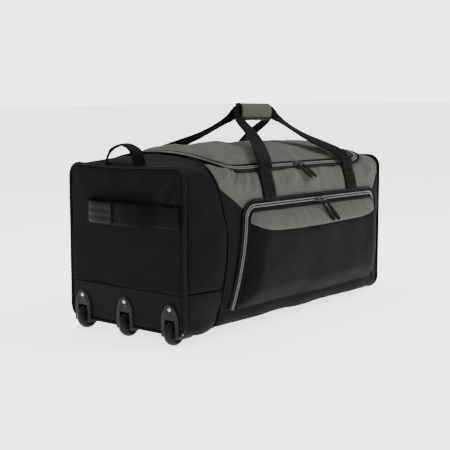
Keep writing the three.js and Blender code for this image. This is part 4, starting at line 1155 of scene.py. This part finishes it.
def pocket_cloth(name, edges, rows, columns, relief, finishes):
    """A panel of the pocket, drawn on the front in (x, z) and pulled in along its seams."""
    xz = patch(*edges, rows, columns)
    x, z = xz[..., 0], xz[..., 1]
    k = place_at(z)
    out = pocket_face(x, z) + relief(x, z)
    points = off_skin(x, k, out)
    points = off_skin(x, k, out + seam_dip(points, 1.8, 6))
    piece = cloth(name, points, xz / 1000, finishes)
    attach(piece, "pocket_flap")
    return piece


def gathers(x, z):
    """The grey top is eased onto the tape, so it hangs in short upright creases."""
    top = np.interp(x, inner_edge[60:-60, 0], inner_edge[60:-60, 1])
    below = top - z
    depth = np.exp(-((below - 20) / 16) ** 2)
    chance = np.random.default_rng(71)
    out = np.zeros(x.shape)
    for middle in np.arange(196, 700, 17):
        middle = middle + chance.uniform(-6, 6)
        slant, wide, high = chance.uniform((-0.25, 3.2, -1.8), (0.25, 6.5, 2.4))
        out += high * np.exp(-(((x - middle - slant * below) / wide) ** 2))
    return out * depth


crescent = pocket_cloth("pocket_grey_top", (crescent_line, inner_edge[near_tip:far_tip],
                        [crescent_line[0]] * 2, [crescent_line[-1]] * 2), 220, 22, gathers,
                        [grey_cloth, lining])


def front_creases(x, z):
    """The full pocket creases from its corners and along its foot."""
    return creased(0, x, z, [
        ((165, 200), (150, 90), 12, 2.0), ((190, 195), (240, 120), 16, -1.6),
        ((690, 190), (712, 80), 13, 2.0), ((640, 190), (600, 110), 16, -1.4),
        ((200, 60), (420, 66), 14, -1.8), ((480, 70), (690, 60), 14, -1.6)])


pocket = pocket_cloth("pocket_black_front", (
    [inner_edge[0], inner_edge[-1]], crescent_line, inner_edge[:near_tip + 1],
    inner_edge[far_tip - 1:][::-1]), 160, 64, front_creases, [black_cloth, lining])
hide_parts("pocket_panel")

# ----------------------------------------
# Carry straps: 50 mm polypropylene webbing, sewn to the walls below the zip and free above it. The
# front one starts at the pocket zip and the rear one near the base, and both meet in the grip.
STRAP_HALF, WEBBING = 23, 2.6
STRAP_K, GRIP_X, GRIP_Z, GRIP_HALF, GRIP_TALL = 9.5, 449, HEIGHT + 113, 59, 40
# Woven polypropylene: dull black and ribbed across, with a painted highlight on the crowns of its ribs
# and painted shade between them.
WEBBING_BLACK = "070708"
webbing, tree, shader = material("black polypropylene webbing", WEBBING_BLACK, 0.66)
shader.inputs["Sheen Weight"].default_value = 0.01
shader.inputs["Specular IOR Level"].default_value = 0.04
uv = add_node(tree, "ShaderNodeUVMap", {"uv_map": "cloth"}).outputs["UV"]
# Its ribs stand 2.5 mm apart along the strap, each of slanting threads.
slant = add_node(tree, "ShaderNodeVectorMath", {"operation": "MULTIPLY"},
                 {0: uv, 1: (1000, 1000, 1)})
ribs = add_node(tree, "ShaderNodeTexWave", {"bands_direction": "Y", "wave_profile": "SIN"},
                {"Vector": slant.outputs["Vector"], "Scale": 0.126, "Distortion": 0.4})
threads = add_node(tree, "ShaderNodeTexWave", {"bands_direction": "DIAGONAL"},
                   {"Vector": slant.outputs["Vector"], "Scale": 0.26})
relief = add_node(tree, "ShaderNodeMath", {"operation": "MULTIPLY_ADD"},
                  {0: threads.outputs["Fac"], 1: 0.5, 2: ribs.outputs["Fac"]}).outputs["Value"]
bump = add_node(tree, "ShaderNodeBump", None, {"Height": relief, "Distance": 0.0005, "Strength": 0.8})
tree.links.new(bump.outputs["Normal"], shader.inputs["Normal"])
# The relief also paints the colour: lighter on the ribs' crowns, a painted highlight, and darker in
# their grooves, painted shade.
tone = add_node(tree, "ShaderNodeMath", {"operation": "MULTIPLY_ADD"},
                {0: relief, 1: 0.5, 2: 0.62}).outputs["Value"]
dye_and_painted_shade = add_node(tree, "ShaderNodeVectorMath", {"operation": "SCALE"},
                {0: linear(WEBBING_BLACK)[:3], "Scale": tone})
tree.links.new(dye_and_painted_shade.outputs["Vector"], shader.inputs["Base Color"])
# Bonded nylon thread is hard and a little glossy. Its stitches are drawn 0.9 mm thick, about
# twice their real thickness, so that they show.
thread_nylon, tree, shader = material("black bonded nylon thread", "0b0b0c", 0.5)
shader.inputs["Specular IOR Level"].default_value = 0.2
stitch = small_part("stitch", (3.4, 0.9, 0.8), 0.25)
STITCH_PITCH = 4.6


def centripetal(points, count):
    """A smooth curve through a few points, evenly spaced."""
    points = np.asarray(points, float)
    points = np.vstack([2 * points[0] - points[1], points, 2 * points[-1] - points[-2]])
    knots = np.insert(np.cumsum(np.linalg.norm(np.diff(points, axis=0), axis=1) ** 0.5), 0, 0)
    parts = []
    for i in range(1, len(points) - 2):
        t = np.linspace(knots[i], knots[i + 1], 25)[:-1, None]
        p, at = points[i - 1:i + 3], knots[i - 1:i + 3]
        a = [(p[j] * (at[j + 1] - t) + p[j + 1] * (t - at[j])) / (at[j + 1] - at[j])
             for j in range(3)]
        b = [(a[j] * (at[j + 2] - t) + a[j + 1] * (t - at[j])) / (at[j + 2] - at[j])
             for j in range(2)]
        parts.append((b[0] * (at[2] - t) + b[1] * (t - at[1])) / (at[2] - at[1]))
    return resample(np.vstack([*parts, points[-2:-1]]), count)


def cupped(half, cup):
    """A strip of webbing's section, bowed by `cup` mm along its edges."""
    u = np.linspace(-1, 1, 9)
    line = np.stack([u * half, cup * u ** 2], -1)
    return np.vstack([line - (0, WEBBING / 2), (line + (0, WEBBING / 2))[::-1]])


def strap_leg(root, to_grip, low_k):
    """Points and upward directions up one leg of the front strap, from its sewn end to the grip."""
    tab = np.linspace(low_k, 9.35, max(int((9.35 - low_k) * 4), 5))
    base = outward(root, STRAP_K)
    level = np.array([0, -1.0, 0])
    facing = np.array([to_grip * 0.15, -0.74, 0.66])  # the strap's width lies level on the way up
    over = root - to_grip * 10
    halfway = root * 0.38 + (GRIP_X + to_grip * GRIP_HALF) * 0.62
    free = [(off_skin(root, 9.6, 6.5), base), (off_skin(root, 9.85, 11.5), base),
            (off_skin(over, 10.4, 17), base * 0.6 + facing * 0.4),
            ((halfway, -84, (HEIGHT + GRIP_Z) / 2 - 1), facing),
            ((GRIP_X + to_grip * (GRIP_HALF + 18), -19, GRIP_Z - 18), facing * 0.7 + level * 0.3),
            ((GRIP_X + to_grip * (GRIP_HALF + 2), -2.6, GRIP_Z - 1), level),
            ((GRIP_X + to_grip * GRIP_HALF * 0.4, -2.4, GRIP_Z), level)]
    points = [np.hstack([off_skin(root, k, 3.0), outward(root, k)]) for k in tab]
    return points + [np.hstack([np.array(place, float), up]) for place, up in free]


def carry_strap(name, low_k, side, nodes):
    """One strap, both of its legs and its run through the grip: side is -1 for the front one."""
    legs = [strap_leg(ROOTS[0], -1, low_k), strap_leg(ROOTS[1], 1, low_k)]
    path = centripetal(legs[0] + legs[1][::-1], 420)
    path[:, [1, 4]] *= -side
    centres, ups = path[:, :3], path[:, 3:]
    height = np.clip((centres[:, 2] - 365) / 85, 0, 1)
    narrow = height * height * (3 - 2 * height)
    sections = np.array([cupped(STRAP_HALF - 5.5 * t, 0) for t in narrow])
    strap = sweep(name, centres, ups, sections, [webbing])
    start = off_skin(GRIP_X, 9.35, 3)
    end = start + np.array((0, 16, 32.0))
    if side > 0:
        start, end = start * (1, -1, 1), end * (1, -1, 1)
    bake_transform(strap)
    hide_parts(*nodes)


carry_strap("front_carry_strap", 8.06, -1,
            ["front_strap", "strap_tab_front_left", "strap_tab_front_right"])
carry_strap("rear_carry_strap", 3.9, 1,
            ["rear_strap", "strap_tab_rear_left", "strap_tab_rear_right"])


def box_stitch(name, root, k_from, k_to, mirrored):
    """A sewn box with its two diagonals, 4 mm inside the edge of the webbing."""
    half = STRAP_HALF - 4
    corners = [(root - half, k_from), (root + half, k_from), (root + half, k_to), (root - half, k_to)]
    for i, (a, b) in enumerate([(0, 1), (1, 2), (2, 3), (3, 0), (0, 2), (1, 3)]):
        x = np.linspace(corners[a][0], corners[b][0], 12)
        k = np.linspace(corners[a][1], corners[b][1], 12)
        k = ROUND - k if mirrored else k
        made = row(f"{name}_stitches_{i}", off_skin(x, k, 4.5), outward(x, k), stitch, STITCH_PITCH,
                   thread_nylon)
        fasten(made, "shell", "webbing")


for name, root in zip(("left", "right"), ROOTS):
    box_stitch(f"front_{name}", root, 8.16, 8.95, False)
    box_stitch(f"rear_{name}", root, 8.16, 8.95, True)

# ----------------------------------------
# Grip: a padded grey wrap round both straps, bound in black. Its rear half carries the lower lip;
# its flap goes over the top and down the front, where hook and loop hold it.
# The binding is a soft woven tape folded over the raw edge; its threads are drawn at 1.3 mm.
binding = woven("black polyester binding tape", "17181a", 1.3, 0.1, 0.6, 0.05)


def wall_ring(line, thick):
    """The closed outline of a wall that follows an open line, thinner at both of its ends."""
    line = resample(centripetal(line, 60), 17)
    ahead = np.gradient(line, axis=0)
    ahead = ahead / np.linalg.norm(ahead, axis=1, keepdims=True)
    aside = np.stack([-ahead[:, 1], ahead[:, 0]], -1)
    half = thick / 2 * (0.55 + 0.45 * ease(np.minimum(np.arange(17), np.arange(17)[::-1]) / 3))
    return np.vstack([line + aside * half[:, None], (line - aside * half[:, None])[::-1]])


low, high = GRIP_Z - GRIP_TALL / 2, GRIP_Z + GRIP_TALL / 2
base_line = [(-9.5, low + 1.5), (-3, low + 0.6), (5, low + 1.4), (9, low + 6), (9.6, GRIP_Z),
             (9.5, high - 3.4)]
flap_line = [(9.5, high - 2.4), (3, high - 1.2), (-5.5, high - 1.8), (-9.4, high - 8), (-10.6, GRIP_Z),
             (-9.6, low + 10), (-9.0, low + 5.5)]
x = np.linspace(GRIP_X - GRIP_HALF, GRIP_X + GRIP_HALF, 90)
for name, line, thick, body, node in [
    ("grip_wrap_back", base_line, 3.4, "rear_strap", "grip_wrap_base"),
    ("grip_wrap_front", flap_line, 4.2, "wrap_flap", "grip_wrap_flap"),
]:
    sections = []
    for place in x:
        end = ease(min(place - x[0], x[-1] - place) / 9)
        puff = 1 + 0.05 * math.sin(place / 9.0) + 0.04 * math.sin(place / 4.3 + 1)
        ring_here = wall_ring(line, thick * (0.7 + 0.3 * end) * puff)
        centre = np.array([0, GRIP_Z])
        sections.append(centre + (ring_here - centre) * (0.93 + 0.07 * end))
    centres = np.stack([x, 0 * x, 0 * x], -1)
    made = sweep(name, centres, np.tile([0, 0, 1.0], (len(x), 1)), np.array(sections), [grey_cloth])
    if body == "wrap_flap":
        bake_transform(made)
    else:
        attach(made, body)
    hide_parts(node)
start, end = GRIP_X - GRIP_HALF - 0.5, GRIP_X + GRIP_HALF
hem = centripetal([(end, -9.6, low + 4.5), (end - 50, -10.4, low + 4.3), (start + 8, -9.8, low + 4.5),
                   (start, -9.6, low + 9), (start, -10.8, GRIP_Z), (start, -9.6, high - 6),
                   (start, -5, high - 0.8), (start, 3, high - 0.4), (start, 9, high - 1.6)], 120)
bound = sweep("grip_wrap_binding", hem, np.tile([0, -1.0, 0.2], (len(hem), 1)), ring(2.3, 10), [binding])
fasten(bound, "wrap_flap", "piping")

# ----------------------------------------
# End handles: a webbing handle across each end panel, sewn flat at both ends. The wheel end's has
# a ribbed, stitched pad; the far end's is for pulling the bag along.
HANDLE_Z, HANDLE_HALF, HANDLE_PROUD = 248, 24.5, 25


def handle(name, path, up, section, node, finish, slot):
    """A strip along a few points on an end panel, facing away from it."""
    path = centripetal([(x, y, HANDLE_Z) for x, y in path], 150)
    made = sweep(name, path, np.tile(up, (len(path), 1)), section, [finish])
    fasten(made, "shell", slot, node)
    return made


crossing = [(-8, 112), (-9, 104), (-21, 86), (-26, 50), (-27, 10), (-30, -25), (-24, -62),
            (-9.5, -92), (-8.4, -110), (-8, -140), (-6.4, -164)]
handle("end_grab_handle", crossing, (-1.0, 0, 0), cupped(HANDLE_HALF, -1.5), "end_handle", webbing,
       "webbing")
# The pad is a thin foam under coated cloth, quilted by its stitching into level ribs. The cloth's
# threads are drawn at 1.8 mm.
pad_cloth = woven("charcoal coated polyester over foam", "0f1012", 1.8, 0.15, 0.6, 0.03)
PAD_HALF = 22
ribbed = []
for u in np.linspace(-1, 1, 25):
    ribbed.append((u * PAD_HALF, 1.2 + 1.7 * abs(math.cos(u * math.pi * 1.5)) * (1 - 0.15 * u * u)))
pad_section = np.array([(u * PAD_HALF, -1.4) for u in (-1, 0, 1)] + ribbed[::-1])
pad = handle("end_handle_padding", [(-12, 97), (-23, 84), (-28, 50), (-29, 12)], (-1.0, 0, 0),
             pad_section, "end_handle_pad", pad_cloth, "grey_cloth")
# Two rows of stitching cross the webbing at its sewn end, and two at the end of the pad.
for name, rows_y in [("near", (108.5, 100)), ("strip", (6, -2))]:
    for i, y in enumerate(rows_y):
        lying = np.interp(y, [-25, 10, 50, 86, 104], [-30, -26, -25, -20, -6])
        z = np.linspace(HANDLE_Z - 20, HANDLE_Z + 20, 6)
        centres = np.stack([np.full(6, min(lying, -4.9) - 1.9), np.full(6, float(y)), z], -1)
        made = row(f"end_handle_{name}_stitches_{i}", centres, np.tile([-1.0, 0, 0], (6, 1)), stitch,
                   STITCH_PITCH, thread_nylon)
        fasten(made, "shell", "webbing")

far_x = LENGTH + 3.9
proud = LENGTH + 2 + HANDLE_PROUD
pulling = [(far_x, -100), (far_x, -88), (proud - 3, -52), (proud, 0), (proud - 3, 52), (far_x, 88),
           (far_x, 100)]
handle("far_pull_handle", pulling, (1.0, 0, 0), cupped(22.5, -1.5), "pull_handle", webbing, "webbing")

# ----------------------------------------
# Top loop: a short loop of narrow webbing, 26 mm wide, for lifting the bag by its wheel end. Both
# of its ends turn out flat into the top seam, and it swings on them.
FOOT = np.array([6, 12, HEIGHT + 7])
loop_points = [(-1, 51, -9), (0, 50, 0), (0, 47, 9), (3, 34, 26), (5, 0, 37), (3, -34, 26),
               (0, -47, 9), (0, -50, 0), (-1, -51, -9)]
path = centripetal([FOOT + point for point in loop_points], 90)
t = np.linspace(0, 1, len(path))
turn = ease((0.5 - np.abs(t - 0.5)) / 0.4)[:, None]
roots = np.where(t[:, None] < 0.5, np.array([[-0.64, 0.77, 0]]), np.array([[-0.8, -0.6, 0]]))
ups = roots * (1 - turn) + np.array([-0.1, 0, 1.0]) * turn
loop = sweep("top_grab_loop", path, ups, cupped(13, -1.2), [webbing])
fasten(loop, "top_loop", "webbing", "top_loop")

# ----------------------------------------
# Sliders and pulls: die-cast zinc sliders in black enamel, two on each zip, and moulded rubber
# pulls that swing on the sliders' bridges.
STRAP_MIDDLE = 431
# Stove enamel on die-cast zinc: smooth and glossy, with the softened edges of thick paint.
enamel, tree, shader = material("black enamelled zinc", "101112", 0.3)
shader.inputs["Specular IOR Level"].default_value = 0.3
shader.inputs["Coat Weight"].default_value = 0.15
shader.inputs["Coat Roughness"].default_value = 0.15
# Soft rubber: matt black, and it takes hardly any highlight.
pull_rubber = moulded("black moulded thermoplastic rubber", "060607", 0.6, 0.9, 0.04)


def zip_slider(name, x, k, out, body):
    """Two plates joined at the nose, with an arched bridge on top for the pull."""
    up = outward(x, k)
    ahead = np.array([1.0, 0, 0])
    side = np.cross(up, ahead)
    turn = Matrix((ahead, side / np.linalg.norm(side), up)).transposed().to_4x4()
    shape = bmesh.new()
    for size, shift in [((14, 9, 1.4), (0, 0, 0.2)), ((14, 9, 1.4), (0, 0, 4.0)),
                        ((4, 3, 4), (5, 0, 2)), ((1.6, 2.6, 3.4), (-4.6, 0, 6.0)),
                        ((1.6, 2.6, 3.4), (4.6, 0, 6.0)), ((10.4, 2.6, 1.6), (0, 0, 7.9))]:
        box = bmesh.ops.create_cube(shape, size=1)["verts"]
        bmesh.ops.scale(shape, vec=size, verts=box)
        edges = list({edge for vert in box for edge in vert.link_edges})
        bmesh.ops.translate(shape, vec=shift, verts=box)
        bmesh.ops.bevel(shape, geom=edges, offset=0.55, segments=2, affect="EDGES")
    mesh = bpy.data.meshes.new(name)
    shape.to_mesh(mesh)
    shape.free()
    mesh.transform(Matrix.Translation(Vector(off_skin(x, k, out))) @ turn)
    smooth(mesh)
    made = add_piece(name, mesh, enamel)
    fasten(made, body, "slider", body)


def to_bag(point):
    """A point of the frame, in metres, on the bag's own axes."""
    return np.array(bag.inverted() @ Vector(point))


def zip_pull(name, body):
    """A tapered rubber tag on a wire ring, from its pivot on the bridge to its free end."""
    node = frame["nodes"][body].data
    middle = sum((to_bag(vertex.co) for vertex in node.vertices), np.zeros(3)) / len(node.vertices)
    joint = joints[f"{body}_swing"]
    pivot = to_bag(joint["pos_m"])
    ahead = (middle - pivot) / np.linalg.norm(middle - pivot)
    length = 2 * np.linalg.norm(middle - pivot)
    axis = np.array(lean.inverted() @ Vector(joint["axis"]))
    rise = np.cross(axis, ahead)
    rise = rise if rise[1] < 0 else -rise
    run = np.array([5, 6, 8, 12, 0.35 * length, 0.6 * length, 0.85 * length, length - 3, length - 0.6])
    half = np.array([1.2, 2.8, 3.4, 3.6, 4.2, 4.8, 5.3, 5.0, 2.8])
    thick = np.array([0.8, 1.5, 1.9, 1.9, 1.7, 1.8, 1.9, 1.7, 0.9])
    fine = np.linspace(run[0], run[-1], 60)
    turns = np.linspace(0, 2 * math.pi, 16, endpoint=False)
    squared = np.stack([np.cos(turns), np.sin(turns)], -1)
    squared = np.sign(squared) * np.abs(squared) ** 0.6  # an oval with flattened sides
    sections = []
    for at in fine:
        ridge = 0.25 * math.sin(at * 2.2) if 14 < at < 0.55 * length else 0
        a, b = np.interp(at, run, half), np.interp(at, run, thick) + ridge
        sections.append(squared * (a, b))
    made = sweep(name, pivot + fine[:, None] * ahead, np.tile(rise, (60, 1)), np.array(sections),
                 [pull_rubber])
    fasten(made, body, "pull", body)
    turns = np.linspace(0, 2 * math.pi, 24, endpoint=False)
    loop = (pivot + ahead * 3.2 + np.outer(np.cos(turns), ahead) * 4.2
            + np.outer(np.sin(turns), axis) * 2.6)
    link = sweep(f"{name}_ring", loop, np.tile(rise, (24, 1)), ring(0.7, 6), [enamel], closed=True)
    fasten(link, body, "slider")


for side, place in [("left", -41), ("right", -21)]:
    zip_slider(f"main_slider_body_{side}", STRAP_MIDDLE + place, SHOULDER + 0.12, 0.6,
               f"main_slider_{side}")
    zip_pull(f"main_pull_tag_{side}", f"main_pull_{side}")
MID_ZIP = 5  # from the pocket's top edge to the middle of its zip
slider_k = float(place_at(POCKET_TOP - MID_ZIP))
for side, place in [("left", 8), ("right", 29)]:
    zip_slider(f"pocket_slider_body_{side}", STRAP_MIDDLE + place, slider_k, 6.5,
               f"pocket_slider_{side}")
    zip_pull(f"pocket_pull_tag_{side}", f"pocket_pull_{side}")
